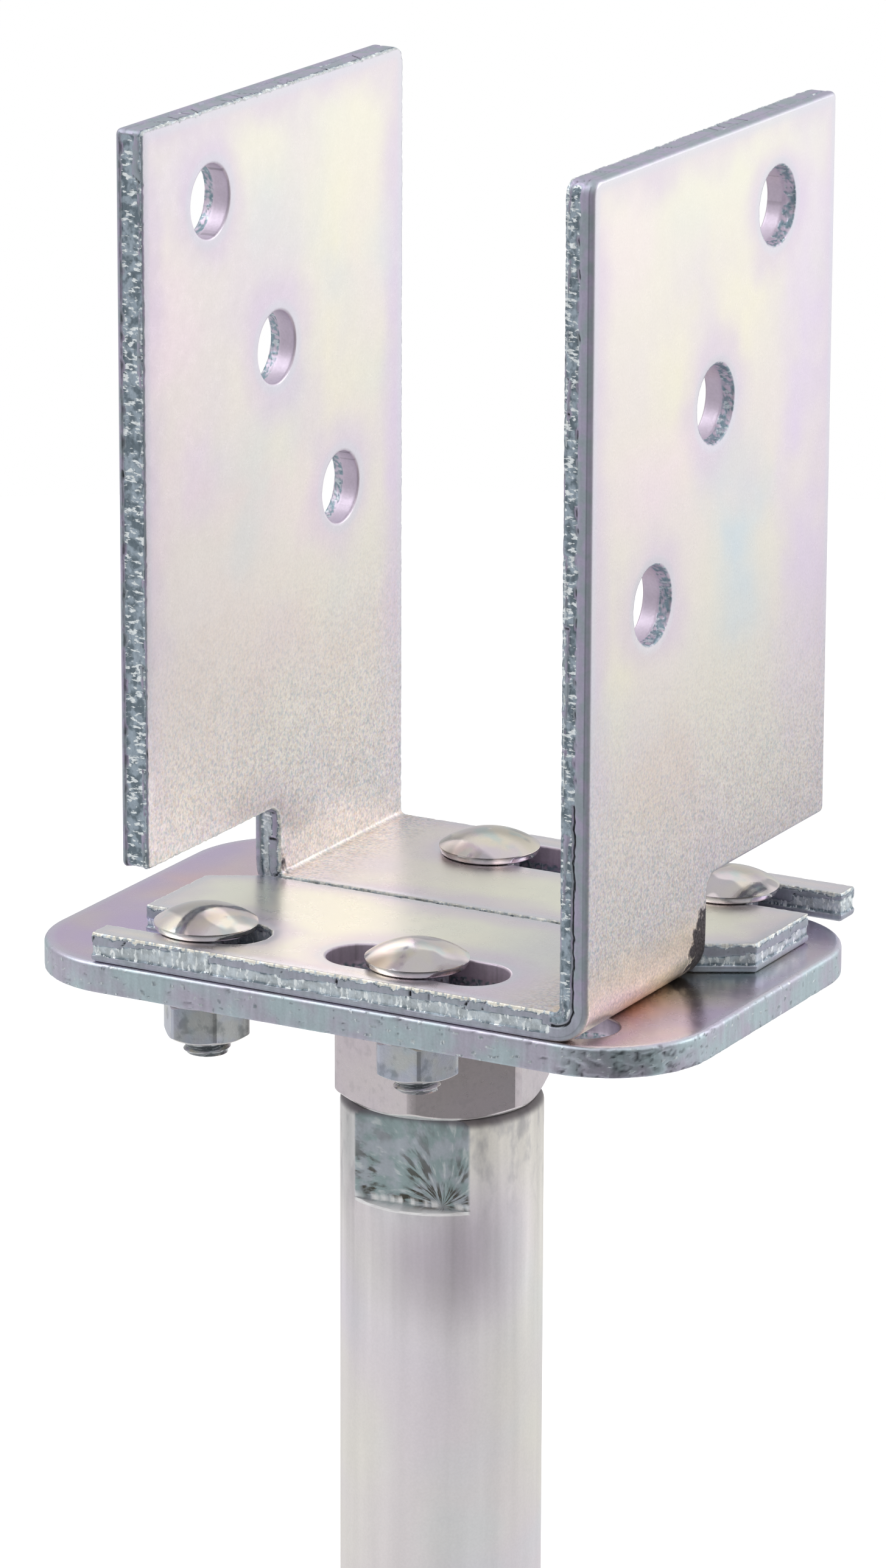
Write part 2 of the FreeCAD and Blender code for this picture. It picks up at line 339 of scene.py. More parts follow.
@dataclass(frozen=True)
class Plating:
    """Zinc plating with its passivation: a pale steel with drifting interference tints."""

    name: str
    cream: Colour = (236, 232, 220)
    rose: Colour = (237, 226, 228)
    lilac: Colour = (224, 213, 228)
    aqua: Colour = (211, 221, 224)
    patch: float = 60.0
    rose_share: float = 1.0
    lilac_share: float = 0.6
    aqua_share: float = 0.4
    shade: float = 1.0
    roughness: float = 0.36
    rough_spread: float = 0.16
    metallic: float = 1.0
    grain: float = 0.42
    grain_contrast: float = 0.14
    grain_depth: float = 0.012
    cloud_share: float = 0.35
    peel_share: float = 0.8
    seed: float = 0.0

    def tints(self, surface: Surface) -> Value:
        """Return the plating's colour with its large soft patches, smaller from tint to tint."""
        layers = (
            (Layer.WARM, 1.0, (0.38, 0.62), self.rose_share, self.rose),
            (Layer.COOL, 0.7, (0.46, 0.68), self.lilac_share, self.lilac),
            (Layer.CLEAR, 0.5, (0.5, 0.72), self.aqua_share, self.aqua),
        )
        tone = linear(self.cream)
        for layer, width, span, share, colour in layers:
            drift = surface.noise(self.patch * width, 2, seed=layer + self.seed).rise(*span)
            tone = surface.mix(drift * share, tone, linear(colour))
        return tone

    def mottle(self, surface: Surface, tone: Value, amount: Operand, shade: Operand) -> Value:
        """Return the tone, shaded, with the fine light and dark grain of plated steel."""
        grain = surface.noise(self.grain, 3, seed=Layer.GRAIN + self.seed)
        cloud = surface.noise(self.grain * 8, 3, seed=Layer.CLOUD + self.seed)
        level = ((grain - 0.5) + (cloud - 0.5) * self.cloud_share) * amount + shade
        return surface.mix(1.0, tone, surface.grey(level), "MULTIPLY")

    def relief(self, surface: Surface) -> Value:
        """Return the height of the plating's own fine orange peel."""
        fine = surface.noise(self.grain, 3, seed=Layer.PEEL + self.seed)
        broad = surface.noise(self.grain * 5, 2, seed=Layer.BROAD_PEEL + self.seed)
        return fine + broad * self.peel_share

    def gloss(self, drift: Value) -> Value:
        """Return the roughness, which drifts about its middle with a noise from 0 to 1."""
        return drift * self.rough_spread + (self.roughness - self.rough_spread / 2)


@dataclass(frozen=True)
class SheetPlating(Plating):
    """Plating on cut and folded sheet, with its own tints along cut edges, folds and holes, and painted
    light and shade on its faces and cut walls.
    """

    cream_cloud: Colour = (242, 237, 216)
    rose_cloud: Colour = (241, 225, 232)
    lilac_cloud: Colour = (226, 213, 234)
    aqua_cloud: Colour = (214, 225, 231)
    tan_cloud: Colour = (236, 216, 198)
    edge_lilac: Colour = (220, 206, 228)
    edge_aqua: Colour = (214, 224, 230)
    # painted highlight colour for the band along the fold
    bend_highlight: Colour = (252, 230, 200)
    # greyer, slightly darker tone used towards the fold
    fold_grey: Colour = (226, 219, 213)
    # painted light: colour for the legs' lying faces, lighter and creamier
    leg_painted_light: Colour = (250, 250, 232)
    leg_painted_light_share: float = 0.75
    tan_speck: Colour = (208, 186, 168)
    violet_speck: Colour = (186, 172, 206)
    teal_speck: Colour = (166, 186, 194)
    speck_share: float = 0.55
    soot: Colour = (60, 57, 66)
    cut_smooth: Colour = (156, 166, 174)
    cut_rolled: Colour = (172, 166, 188)
    cut_lower: Colour = (168, 174, 184)
    # painted glints on the torn crystals
    cut_glint: Colour = (240, 246, 248)
    cut_middle: Colour = (164, 178, 190)
    cut_deep: Colour = (112, 126, 136)
    # painted shade in the cracks, seams and slab steps
    crack_shade: Colour = (38, 40, 46)
    # painted highlight along the torn lip
    torn_lip_highlight: Colour = (244, 240, 228)
    bore_smooth: Colour = (206, 194, 210)
    # broken zone of punched walls, painted darker for the shade inside holes and slots
    bore_broken_and_shade: Colour = (128, 154, 166)
    cut_lower_share: float = 0.7
    cut_metallic: float = 0.62
    cut_patch: float = 2.4
    cut_streak: float = 0.5
    cut_grain: float = 0.24
    cut_rough: float = 0.16
    cut_relief: float = 1.5
    hatch_span: tuple[float, float] = (0.36, 0.64)
    crystal_span: tuple[float, float] = (0.4, 0.6)
    fleck_span: tuple[float, float] = (0.54, 0.62)
    crack_tear: tuple[float, float] = (-1.0, -0.1)
    torn_tear: tuple[float, float] = (0.1, 0.5)
    cut_glint_tear: tuple[float, float] = (0.65, 1.0)
    lip_tear: tuple[float, float] = (1.05, 1.5)
    torn_relief: float = 9.0
    bore_broken_and_shade_share: float = 0.7
    cut_glint_share: float = 0.45
    sway_patch: float = 9.0
    cloud_sway: float = 0.8
    speck_span: tuple[float, float] = (0.48, 0.68)
    speck_reach: tuple[float, float] = (4.0, 60.0)
    rim_patch: float = 14.0
    rim_wander: float = 12.0
    rim_line: tuple[float, float] = (0.9, 2.6)
    rim_line_share: float = 0.35
    edge_width: float = 9.0
    edge_share: float = 0.6
    fold_patch: float = 16.0
    fold_wander: float = 40.0
    fold_reach: float = 75.0
    fold_grain: float = 0.75
    fold_rough: float = 0.04
    fold_grey_share: float = 0.6
    bend_highlight_share: float = 0.6
    bend_highlight_wander: float = 0.2
    bend_highlight_reach: float = 9.0
    leg_span: tuple[float, float] = (70.0, 180.0)
    leg_calm: float = 0.85
    leg_top: float = 232.0
    soot_patch: float = 1.8
    soot_span: tuple[float, float] = (0.4, 0.85)
    soot_share: float = 0.92
    soot_rough: float = 0.3
    soot_relief: float = 20.0

    def upright(self, surface: Surface) -> Value:
        """Return 0 on the legs and 1 on the uprights, with a soft change above the fold."""
        return surface.height("Z").rise(self.leg_top, self.leg_top + 3.0)

    def clouds(self, surface: Surface, tone: Value) -> Value:
        """Return the tone with the soft patches that the mesh marks on its faces."""
        sway = (surface.noise(self.sway_patch, 3, seed=Layer.SWAY + self.seed) - 0.5) * self.cloud_sway
        tints = {
            Tint.CREAM: self.cream_cloud,
            Tint.ROSE: self.rose_cloud,
            Tint.LILAC: self.lilac_cloud,
            Tint.AQUA: self.aqua_cloud,
            Tint.TAN: self.tan_cloud,
        }
        for tint, colour in tints.items():
            mark = surface.mark(tint.value)
            tone = surface.mix((mark + sway * mark).rise(0.0, 0.9), tone, linear(colour))
        return tone

    def specks(self, surface: Surface, tone: Value, share: Value) -> Value:
        """Return the tone with the coarse coloured grain that the steel has near its fold."""
        specks = ((0.8, self.tan_speck), (0.65, self.violet_speck), (0.75, self.teal_speck))
        for number, (size, colour) in enumerate(specks):
            speck = surface.noise(size, 3, seed=Layer.SPECK + number + self.seed).rise(*self.speck_span)
            tone = surface.mix(speck * share, tone, linear(colour))
        return tone

    def face(self, surface: Surface, leg: Value, soot: Value) -> Value:
        """Return the colour of the rolled faces, with a painted highlight along the fold and painted light
        on the legs.
        """
        fold = surface.mark("fold")
        rim = surface.mark("rim")
        tone = self.clouds(surface, self.tints(surface))
        # painted light: the legs are painted lighter and creamier for the light their lying faces catch
        tone = surface.mix(leg * self.leg_painted_light_share, tone, linear(self.leg_painted_light))
        wander = surface.noise(self.rim_patch, 2, seed=Layer.RIM_WANDER + self.seed) * self.rim_wander
        near = (rim + wander - self.rim_wander / 2).fall(0.0, self.edge_width)
        tone = surface.mix(near * self.edge_share, tone, linear(self.edge_lilac))
        tone = surface.mix(rim.fall(*self.rim_line) * self.rim_line_share, tone, linear(self.edge_aqua))
        # greyer and slightly darker tone towards the fold, on the uprights
        ragged = surface.noise(self.fold_patch, 3, seed=Layer.FOLD_WANDER + self.seed) * self.fold_wander
        bent = (fold + ragged - self.fold_wander / 2).fall(0.0, self.fold_reach) * (1 - leg)
        tone = surface.mix(bent * self.fold_grey_share, tone, linear(self.fold_grey))
        tone = self.specks(surface, tone, fold.fall(*self.speck_reach) * self.speck_share)
        # painted highlight: a warm bright band along the fold, where the bend catches the light
        shift = self.fold_wander / 2 * self.bend_highlight_wander
        highlight_band = (fold + ragged * self.bend_highlight_wander - shift).fall(0.0, self.bend_highlight_reach)
        tone = surface.mix(highlight_band * surface.mark("gilt") * self.bend_highlight_share, tone, linear(self.bend_highlight))
        return surface.mix(soot, tone, linear(self.soot))

    def cut(self, surface: Surface) -> Value:
        """Return the colour of the cut walls, from torn crystals with painted glints to cracks with painted
        shade.
        """
        tear = surface.mark("tear")
        bore = surface.mark("bore")
        upright = self.upright(surface)
        hatch = surface.noise(self.cut_patch, 3, seed=Layer.HATCH + self.seed).rise(*self.hatch_span)
        lying = surface.noise(0.75, 4, (0.6, 0.8, 1.4), seed=Layer.FLECK + self.seed)
        standing = surface.noise(0.75, 4, (1.4, 0.8, 0.6), seed=Layer.FLECK + self.seed)
        fleck = lying * upright + standing * (1 - upright)
        crystal = surface.noise(1.5, 3, seed=Layer.CRYSTAL + self.seed).rise(*self.crystal_span)
        smooth = surface.mix(hatch, linear(self.cut_smooth), linear(self.cut_rolled))
        smooth = surface.mix((1 - upright) * self.cut_lower_share, smooth, linear(self.cut_lower))
        smooth = surface.mix(bore, smooth, linear(self.bore_smooth))
        torn = surface.mix(crystal, linear(self.cut_deep), linear(self.cut_middle))
        # broken zone of punched holes and slots, its own darker tone painted darker still for the shade
        # inside them
        torn = surface.mix(bore * self.bore_broken_and_shade_share, torn, linear(self.bore_broken_and_shade))
        # painted glints: bright crystals and flecks on the torn zone
        bright = tear.rise(*self.cut_glint_tear) * self.cut_glint_share
        torn = surface.mix(bright, torn, linear(self.cut_glint))
        flecks = fleck.rise(*self.fleck_span) * (1 - bore * 0.5)
        torn = surface.mix(flecks, torn, linear(self.cut_glint))
        tone = surface.mix(tear.rise(*self.torn_tear), smooth, torn)
        # painted highlight along the torn lip
        lip = tear.rise(*self.lip_tear) * fleck.rise(0.38, 0.5)
        tone = surface.mix(lip, tone, linear(self.torn_lip_highlight))
        # painted shade: cracks, seams and slab steps turn dark
        return surface.mix(tear.fall(*self.crack_tear), tone, linear(self.crack_shade))

    def material(self) -> bpy.types.Material:
        """Build the finish of a cut and folded sheet."""
        surface = Surface(self.name)
        cut = surface.mark("cut")
        fold = surface.mark("fold")
        leg = fold.rise(*self.leg_span)
        down = fold.fall(0.0, self.fold_reach)
        stain = surface.noise(self.soot_patch, 4, seed=Layer.SOOT + self.seed) * 3.0 - 0.5
        soot = (surface.mark("soot") * stain).rise(*self.soot_span) * self.soot_share
        # painted shade: the faces are darkened near the fold
        shade = self.shade - surface.mark("gloom")
        calm = 1 - leg * self.leg_calm
        grain = self.grain_contrast * calm + down * down * self.fold_grain + soot
        face = self.mottle(surface, self.face(surface, leg, soot), grain, shade)
        streak = surface.noise(0.9, 3, (1, 1, 0.12), seed=Layer.WALL_STREAK + self.seed)
        level = (streak - 0.5) * (1 - self.upright(surface)) * self.cut_streak + self.shade
        wall = self.mottle(surface, self.cut(surface), self.cut_grain, level)
        tone = surface.mix(cut, face, wall)
        gloss = self.gloss(surface.noise(self.grain * 6, 2, seed=Layer.GLOSS + self.seed))
        rough = gloss + down * self.fold_rough + cut * self.cut_rough + soot * self.soot_rough
        coarse = surface.noise(0.5, 4, seed=Layer.COARSE + self.seed)
        torn = surface.mark("tear").rise(0.1, 0.6)
        peel = self.relief(surface) * (1 - cut) * calm
        walls = cut * (self.cut_relief + torn * self.torn_relief)
        relief = peel + coarse * (walls + soot * self.soot_relief)
        metallic = self.metallic - cut * (1 - self.cut_metallic)
        return surface.finish(tone, rough, surface.bump(relief, self.grain_depth), metallic)


@dataclass(frozen=True)
class TubePlating(Plating):
    """Plating on the drawn ground tube: lengthwise streaks and scratched wrench flats, with painted
    highlights on the flats and painted shade under the lock nut.
    """

    flat_tone: Colour = (170, 178, 186)
    flat_teal: Colour = (148, 166, 168)
    # partly a darker band on the top rim, partly painted shadow in the gap under the lock nut
    rim_band_and_shadow: Colour = (92, 86, 94)
    rim_band_and_shadow_span: tuple[float, float] = (198.3, 199.7)
    # dark stains below the lock nut, with painted shade under it
    smear: Colour = (150, 150, 158)
    # a soft darker patch below the flat, on the side facing front
    dark_patch_place: tuple[float, float, float] = (8.9, -14.3, 176.0)
    dark_patch: Colour = (150, 140, 152)
    scratch_dark: Colour = (66, 60, 48)
    # painted highlight colour for the flats' edge and the fan's light strokes
    tube_highlight: Colour = (250, 250, 250)
    flat_heading: float = -82.0
    fan_foot: tuple[float, float] = (5.2, 184.9)
    fan_spread: float = 2.2
    fan_drift: float = 0.03
    fan_stretch: float = 0.07
    stroke_span: tuple[float, float] = (0.47, 0.57)
    stroke_heights: tuple[float, float] = (186.9, 197.9)
    stroke_least: float = 0.25
    stroke_more: float = 0.7
    glint_span: tuple[float, float] = (0.34, 0.44)
    glint_share: float = 0.3
    smear_and_shade_heights: tuple[float, float] = (176.0, 196.0)
    smear_and_shade_share: float = 0.5
    dark_patch_reach: tuple[float, float] = (2.0, 17.0)
    # heights over which the streaks and runs grow stronger
    top_streak_span: tuple[float, float] = (150.0, 184.0)
    rim_band_and_shadow_share: float = 0.85
    rough_spread: float = 0.14
    flat_polish: float = 0.2
    streak_relief: float = 1.5
    scratch_relief: float = 4.0

    def fan(self, surface: Surface) -> Value:
        """Return the fan of scratches that a wrench left, spreading up from one point of each flat."""
        turn = math.radians(self.flat_heading)
        sideways = (-math.sin(turn), math.cos(turn), 0.0)
        across = surface.vector("DOT_PRODUCT", surface.place, sideways, "Value") - self.fan_foot[0]
        rise = surface.height("Z") - self.fan_foot[1]
        angle = surface.maths("ARCTAN2", across, rise)
        reach = surface.maths("SQRT", across * across + rise * rise, 0.0)
        swept = angle * self.fan_spread + reach * self.fan_drift
        polar = surface.node("ShaderNodeCombineXYZ", None, {0: swept, 1: reach * self.fan_stretch, 2: 0.0})
        inputs = {"Vector": polar, "Scale": 3.4, "Detail": 5.0, "Distortion": 0.12}
        return surface.node("ShaderNodeTexNoise", None, inputs)

    def material(self) -> bpy.types.Material:
        """Build the finish of the drawn tube."""
        surface = Surface(self.name)
        tone = self.tints(surface)
        streaks = surface.noise(3.4, 3, (1, 1, 0.05), seed=Layer.DRAWN_STREAK)
        runs = surface.noise(9.0, 3, (1, 1, 0.12), seed=Layer.RUN)
        # streaks and runs grow stronger towards the top
        near_top = surface.height("Z").rise(*self.top_streak_span)
        level = (streaks - 0.5) * (near_top * 0.5 + 0.2) + (runs - 0.5) * (near_top * 0.4 + 0.2) + self.shade
        flat = surface.mark("flat")
        sweep = self.fan(surface)
        dull = surface.noise(3.0, 3, seed=Layer.MILLED).rise(0.42, 0.58)
        milled = surface.mix(dull, linear(self.flat_tone), linear(self.flat_teal))
        low = surface.height("Z").fall(*self.stroke_heights)
        patchy = surface.noise(5.0, 3, seed=Layer.STROKE).rise(0.38, 0.54)
        stroke = sweep.rise(*self.stroke_span) * patchy * (low * self.stroke_more + self.stroke_least)
        milled = surface.mix(stroke, milled, linear(self.scratch_dark))
        # painted glints along the fan's light strokes
        glint = sweep.fall(*self.glint_span) * self.glint_share
        milled = surface.mix(glint, milled, linear(self.tube_highlight))
        # stains below the lock nut, together with painted shade under it
        smeared_and_shaded = surface.noise(3.2, 4, (1, 1, 0.5), seed=Layer.SMEAR).rise(0.46, 0.68)
        smeared_and_shaded = smeared_and_shaded * surface.height("Z").rise(*self.smear_and_shade_heights)
        tone = surface.mix(smeared_and_shaded * self.smear_and_shade_share, tone, linear(self.smear))
        # a soft darker patch below the flat, on the side facing front
        near = surface.vector("DISTANCE", surface.place, self.dark_patch_place, "Value").fall(*self.dark_patch_reach)
        tone = surface.mix(near * (runs * 0.8 + 0.1), tone, linear(self.dark_patch))
        tone = surface.mix(flat, tone, milled)
        # painted highlight along the flats' lower edge
        tone = surface.mix(surface.mark("lip"), tone, linear(self.tube_highlight))
        # partly a darker band on the top rim, partly painted shadow in the gap under the lock nut
        rim = surface.height("Z").rise(*self.rim_band_and_shadow_span) * self.rim_band_and_shadow_share
        tone = surface.mix(rim, tone, linear(self.rim_band_and_shadow))
        tone = self.mottle(surface, tone, self.grain_contrast, level)
        rough = self.gloss(streaks) - flat * self.flat_polish
        relief = self.relief(surface) + streaks * self.streak_relief + sweep * flat * self.scratch_relief
        return surface.finish(tone, rough, surface.bump(relief, self.grain_depth), self.metallic)


@dataclass(frozen=True)
class TurnedPlating(Plating):
    """Plating on nuts, bolts and washers: mottled flats, chamfers with a painted highlight, thread roots
    with painted shade, and painted reflection and shade on the bolt heads.
    """

    flank: Colour = (196, 203, 210)
    # painted highlight colour on the chamfers
    chamfer: Colour = (226, 220, 210)
    # dark colour for stains on the flanks, also painted shade in thread roots, nut bores and weld ripples
    root: Colour = (70, 84, 92)
    # painted reflection: colour of the darker wedges on the domed heads
    wedge: Colour = (150, 150, 156)
    flat_mottle: float = 0.3
    flank_share: float = 0.75
    painted_reflection_share: float = 0.0
    stain_patch: float = 1.6
    side_metallic: float = 0.75
    side_relief: float = 2.0
    bevel_share: float = 0.7
    bevel_milk: float = 0.5
    stain_span: tuple[float, float] = (0.52, 0.66)
    rough_spread: float = 0.2

    def material(self) -> bpy.types.Material:
        """Build the finish of a turned or forged fastener."""
        surface = Surface(self.name)
        tone = self.tints(surface)
        stain = surface.noise(self.stain_patch, 4, seed=Layer.STAIN + self.seed)
        side = surface.mark("side")
        bevel = surface.mark("chamfer")
        # painted reflection: darker wedges on the domed heads, for the dark surroundings they mirror
        wedge = surface.noise(self.patch * 0.9, 1, seed=Layer.WEDGE + self.seed, distortion=0.4)
        tone = surface.mix(wedge.rise(0.48, 0.56) * self.painted_reflection_share, tone, linear(self.wedge))
        tone = surface.mix(side * self.flank_share, tone, linear(self.flank))
        spots = side * stain.rise(*self.stain_span) * self.flat_mottle
        tone = surface.mix(spots, tone, linear(self.root))
        # painted highlight on the chamfers
        tone = surface.mix(bevel * self.bevel_share, tone, linear(self.chamfer))
        # painted shade in the thread roots, the nut bores and the weld ripples
        tone = surface.mix(surface.mark("root"), tone, linear(self.root))
        # painted shade: each bolt head darkened by its own amount, lightened where negative
        tone = self.mottle(surface, tone, self.grain_contrast, self.shade - surface.mark("dull"))
        relief = self.relief(surface) + stain * side * self.side_relief
        metallic = self.metallic - side * (1 - self.side_metallic) - bevel * self.bevel_milk
        return surface.finish(tone, self.gloss(stain), surface.bump(relief, self.grain_depth), metallic)


class PieceMesh:
    """Collects the points, faces and marks of one piece, then makes its object."""

    def __init__(self, name: str) -> None:
        """Start an empty piece."""
        self.name = name
        self.points: list[tuple[float, float, float]] = []
        self.faces: list[tuple[int, ...]] = []
        self.marks: dict[str, list[float]] = {}

    def add(self, points: np.ndarray, marks: dict[str, np.ndarray]) -> int:
        """Add points with their marks and return the number of the first one."""
        first = len(self.points)
        self.points.extend(map(tuple, np.asarray(points, float)))
        for name in set(self.marks) | set(marks):
            held = self.marks.setdefault(name, [0.0] * first)
            held.extend(marks.get(name, np.zeros(len(points))))
        return first

    def build(self, finish: bpy.types.Material, sharp_degrees: float) -> bpy.types.Object:
        """Make the object.

        Args:
            finish: The material that it wears.
            sharp_degrees: Edges that turn by more than this stay crisp.

        Returns:
            The object, linked to the scene.
        """
        mesh = bpy.data.meshes.new(self.name)
        mesh.from_pydata([tuple(part * MM for part in point) for point in self.points], [], self.faces)
        for name, values in self.marks.items():
            mesh.attributes.new(name, "FLOAT", "POINT").data.foreach_set("value", values)
        mesh.shade_smooth()
        mesh.set_sharp_from_angle(angle=math.radians(sharp_degrees))
        mesh.materials.append(finish)
        mesh.update()
        made = bpy.data.objects.new(self.name, mesh)
        bpy.context.scene.collection.objects.link(made)
        return made


@dataclass(frozen=True)
class CutEdge:
    """The section of a cut edge, from the face that the tool entered to the one that it left."""

    kind: CutKind
    roll_width: float
    roll_height: float
    burr: float = 0.15
    steps: int = 16
    roll_steps: int = 5

    def section(self, thickness: float) -> list[tuple[float, float]]:
        """Return the edge's (inset, depth) points from the rolled face to the other face."""
        points = [(self.roll_width * 1.5, 0.0)]
        for step in range(self.roll_steps + 1):
            turn = step / self.roll_steps * math.pi / 2
            inset = self.roll_width * (1 - math.sin(turn))
            points.append((inset, self.roll_height * (1 - math.cos(turn))))
        end = thickness - self.burr
        for step in range(1, self.steps + 1):
            points.append((0.0, self.roll_height + (end - self.roll_height) * step / self.steps))
        points.append((self.burr * 0.6, thickness - self.burr * 0.25))
        points.append((self.burr * 2.2, thickness))
        return points


Arc = tuple[Vector, float, float, float]


def on_circle(centre: Vector, radius: float, angle: float) -> Vector:
    """Return the point of a circle at an angle."""
    return centre + Vector((math.cos(angle), math.sin(angle))) * radius


@dataclass(frozen=True)
class Outline:
    """A closed line of straight runs joined by arcs, held as its corners and their radii."""

    corners: tuple[tuple[float, float, float], ...]
    spacing: float = 0.42
    least_radius: float = 0.02
    least_run: float = 0.05

    def turns(self) -> list[tuple[Vector, Vector, Vector, float]]:
        """Return each corner's place, the directions into and out of it, and its turning angle."""
        found = []
        count = len(self.corners)
        for index, (x, y, _) in enumerate(self.corners):
            corner = Vector((x, y))
            into = (corner - Vector(self.corners[index - 1][:2])).normalized()
            out = (Vector(self.corners[(index + 1) % count][:2]) - corner).normalized()
            found.append((corner, into, out, math.atan2(into.x * out.y - into.y * out.x, into.dot(out))))
        return found

    def arcs(self, inset: float) -> list[Arc]:
        """Return each corner's arc: centre, radius, first angle and turn, with the line moved left."""
        found = []
        for (corner, into, out, turn), (_, _, radius) in zip(self.turns(), self.corners):
            side = math.copysign(1.0, turn)
            left_in = Vector((-into.y, into.x))
            left_out = Vector((-out.y, out.x))
            moved = corner + (left_in + left_out) * inset / (1 + left_in.dot(left_out))
            rounding = max(radius - side * inset, self.least_radius)
            centre = moved - into * rounding * math.tan(abs(turn) / 2) + left_in * rounding * side
            found.append((centre, rounding, math.atan2(-left_in.y * side, -left_in.x * side), turn))
        return found

    def run_after(self, arcs: list[Arc], index: int) -> tuple[Vector, Vector]:
        """Return the two ends of the straight run that follows an arc."""
        centre, radius, first, turn = arcs[index]
        after, after_radius, after_first, _ = arcs[(index + 1) % len(arcs)]
        return on_circle(centre, radius, first + turn), on_circle(after, after_radius, after_first)

    def counts(self) -> list[tuple[int, int]]:
        """Return how many points each arc and the straight run after it have."""
        arcs = self.arcs(0.0)
        found = []
        for index, (_, radius, _, turn) in enumerate(arcs):
            end, start = self.run_after(arcs, index)
            run = (start - end).length
            straight = max(1, round(run / self.spacing)) if run > self.least_run else 0
            found.append((max(2, round(radius * abs(turn) / self.spacing)), straight))
        return found

    def line(self, inset: float) -> np.ndarray:
        """Return the points of the line moved to its left, always as many as on the line itself."""
        arcs = self.arcs(inset)
        points = []
        for index, ((centre, radius, first, turn), (bent, straight)) in enumerate(zip(arcs, self.counts())):
            points.extend(on_circle(centre, radius, first + turn * step / bent) for step in range(bent))
            end, start = self.run_after(arcs, index)
            points.extend(end.lerp(start, step / straight) for step in range(straight))
        return np.array(points)


def slot_outline(low: tuple[float, float], high: tuple[float, float]) -> Outline:
    """Return a round hole or a round-ended slot, run clockwise so that the steel is to its left."""
    radius = min(high[0] - low[0], high[1] - low[1]) / 2
    places = ((low[0], low[1]), (low[0], high[1]), (high[0], high[1]), (high[0], low[1]))
    return Outline(tuple((x, y, radius) for x, y in places))


def is_inside(point: Vector, rims: list[np.ndarray]) -> bool:
    """Return whether a point lies between the rims, by counting the edges to its right."""
    crossings = 0
    for rim in rims:
        after = np.roll(rim, -1, axis=0)
        spans = (rim[:, 1] > point.y) != (after[:, 1] > point.y)
        rise = np.where(spans, after[:, 1] - rim[:, 1], 1.0)
        reach = rim[:, 0] + (point.y - rim[:, 1]) / rise * (after[:, 0] - rim[:, 0])
        crossings += int(np.count_nonzero(spans & (reach > point.x)))
    return crossings % 2 == 1


@dataclass(frozen=True)
class Cloud:
    """A soft patch of one tint: its middle along and across the blank, its reaches and strength."""

    tint: Tint
    along: float
    across: float
    reach: tuple[float, float]
    strength: float = 0.6


def cloud_marks(places: np.ndarray, clouds: tuple[Cloud, ...], seed: float) -> dict[str, np.ndarray]:
    """Return how strongly each tint drifts over each point, given as (along, across) places."""
    marks = {tint.value: np.zeros(len(places)) for tint in Tint}
    broad = np.array([grit(0.06 * x, 0.06 * y, seed) for x, y in places])
    sway = broad + 0.5 * np.array([grit(0.2 * x, 0.2 * y, seed) for x, y in places])
    for cloud in clouds:
        ahead = (places[:, 0] - cloud.along) / cloud.reach[0]
        aside = (places[:, 1] - cloud.across) / cloud.reach[1]
        share = np.clip((1.5 - np.hypot(ahead, aside) + 0.9 * sway) / 1.5, 0, 1) * cloud.strength
        marks[cloud.tint.value] = np.maximum(marks[cloud.tint.value], share)
    return marks


LEFT_CLOUDS = (
    Cloud(Tint.CREAM, 118, -22, (18, 18)),
    Cloud(Tint.CREAM, 88, -19, (24, 16), 0.5),
    Cloud(Tint.AQUA, 119, 6, (8, 6), 0.4),
    Cloud(Tint.AQUA, 104, -36, (12, 8), 0.4),
    Cloud(Tint.ROSE, 103, 34, (24, 10), 0.8),
    Cloud(Tint.LILAC, 128, 30, (10, 14), 0.8),
    Cloud(Tint.LILAC, 78, 24, (9, 8), 0.4),
    Cloud(Tint.ROSE, 64, -14, (12, 22)),
    Cloud(Tint.TAN, 44, 8, (22, 28), 0.4),
    Cloud(Tint.TAN, 28, -24, (16, 18), 0.5),
    Cloud(Tint.LILAC, 80, -40, (50, 5)),
)
RIGHT_CLOUDS = (
    Cloud(Tint.CREAM, 103, -13, (16, 16), 0.7),
    Cloud(Tint.CREAM, 112, 8, (12, 15), 0.7),
    Cloud(Tint.CREAM, 62, -31, (18, 11)),
    Cloud(Tint.AQUA, 75, 6, (13, 9), 0.7),
    Cloud(Tint.AQUA, 60, 12, (10, 10)),
    Cloud(Tint.LILAC, 105, 33, (28, 10), 0.8),
    Cloud(Tint.LILAC, 60, 34, (26, 11), 0.8),
    Cloud(Tint.ROSE, 128, -34, (12, 12)),
    Cloud(Tint.ROSE, 84, -22, (11, 11)),
    Cloud(Tint.ROSE, 90, -4, (7, 10), 0.5),
    Cloud(Tint.TAN, 34, -18, (14, 18), 0.5),
    Cloud(Tint.LILAC, 22, 0, (10, 14), 0.5),
)
PLATE_CLOUDS = (
    # painted reflection: this warm tan patch near the spare hole stands in for the warm bend mirrored in the
    # plate
    Cloud(Tint.TAN, 37, -25, (11, 9), 1.0),
    Cloud(Tint.ROSE, 46, -12, (9, 9), 0.6),
    Cloud(Tint.LILAC, -48, -22, (12, 20), 0.8),
    Cloud(Tint.CREAM, -38, -6, (14, 6), 0.8),
    Cloud(Tint.ROSE, -50, 6, (10, 10), 0.7),
    Cloud(Tint.AQUA, 52, 8, (8, 16), 0.6),
    Cloud(Tint.LILAC, 50, 30, (12, 10), 0.7),
)


@dataclass(frozen=True)
class ShearRun:
    """How one run of a sheared edge tore: its end along the cut, and the shares of its bands, which also set
    its painted glints and painted shade.
    """

    end: float
    burnish: float
    split: float
    seam: float = 0.5
    shine: float = 0.9
    lip: float = 0.9
    patchy: float = 0.0
    border: float = 0.0


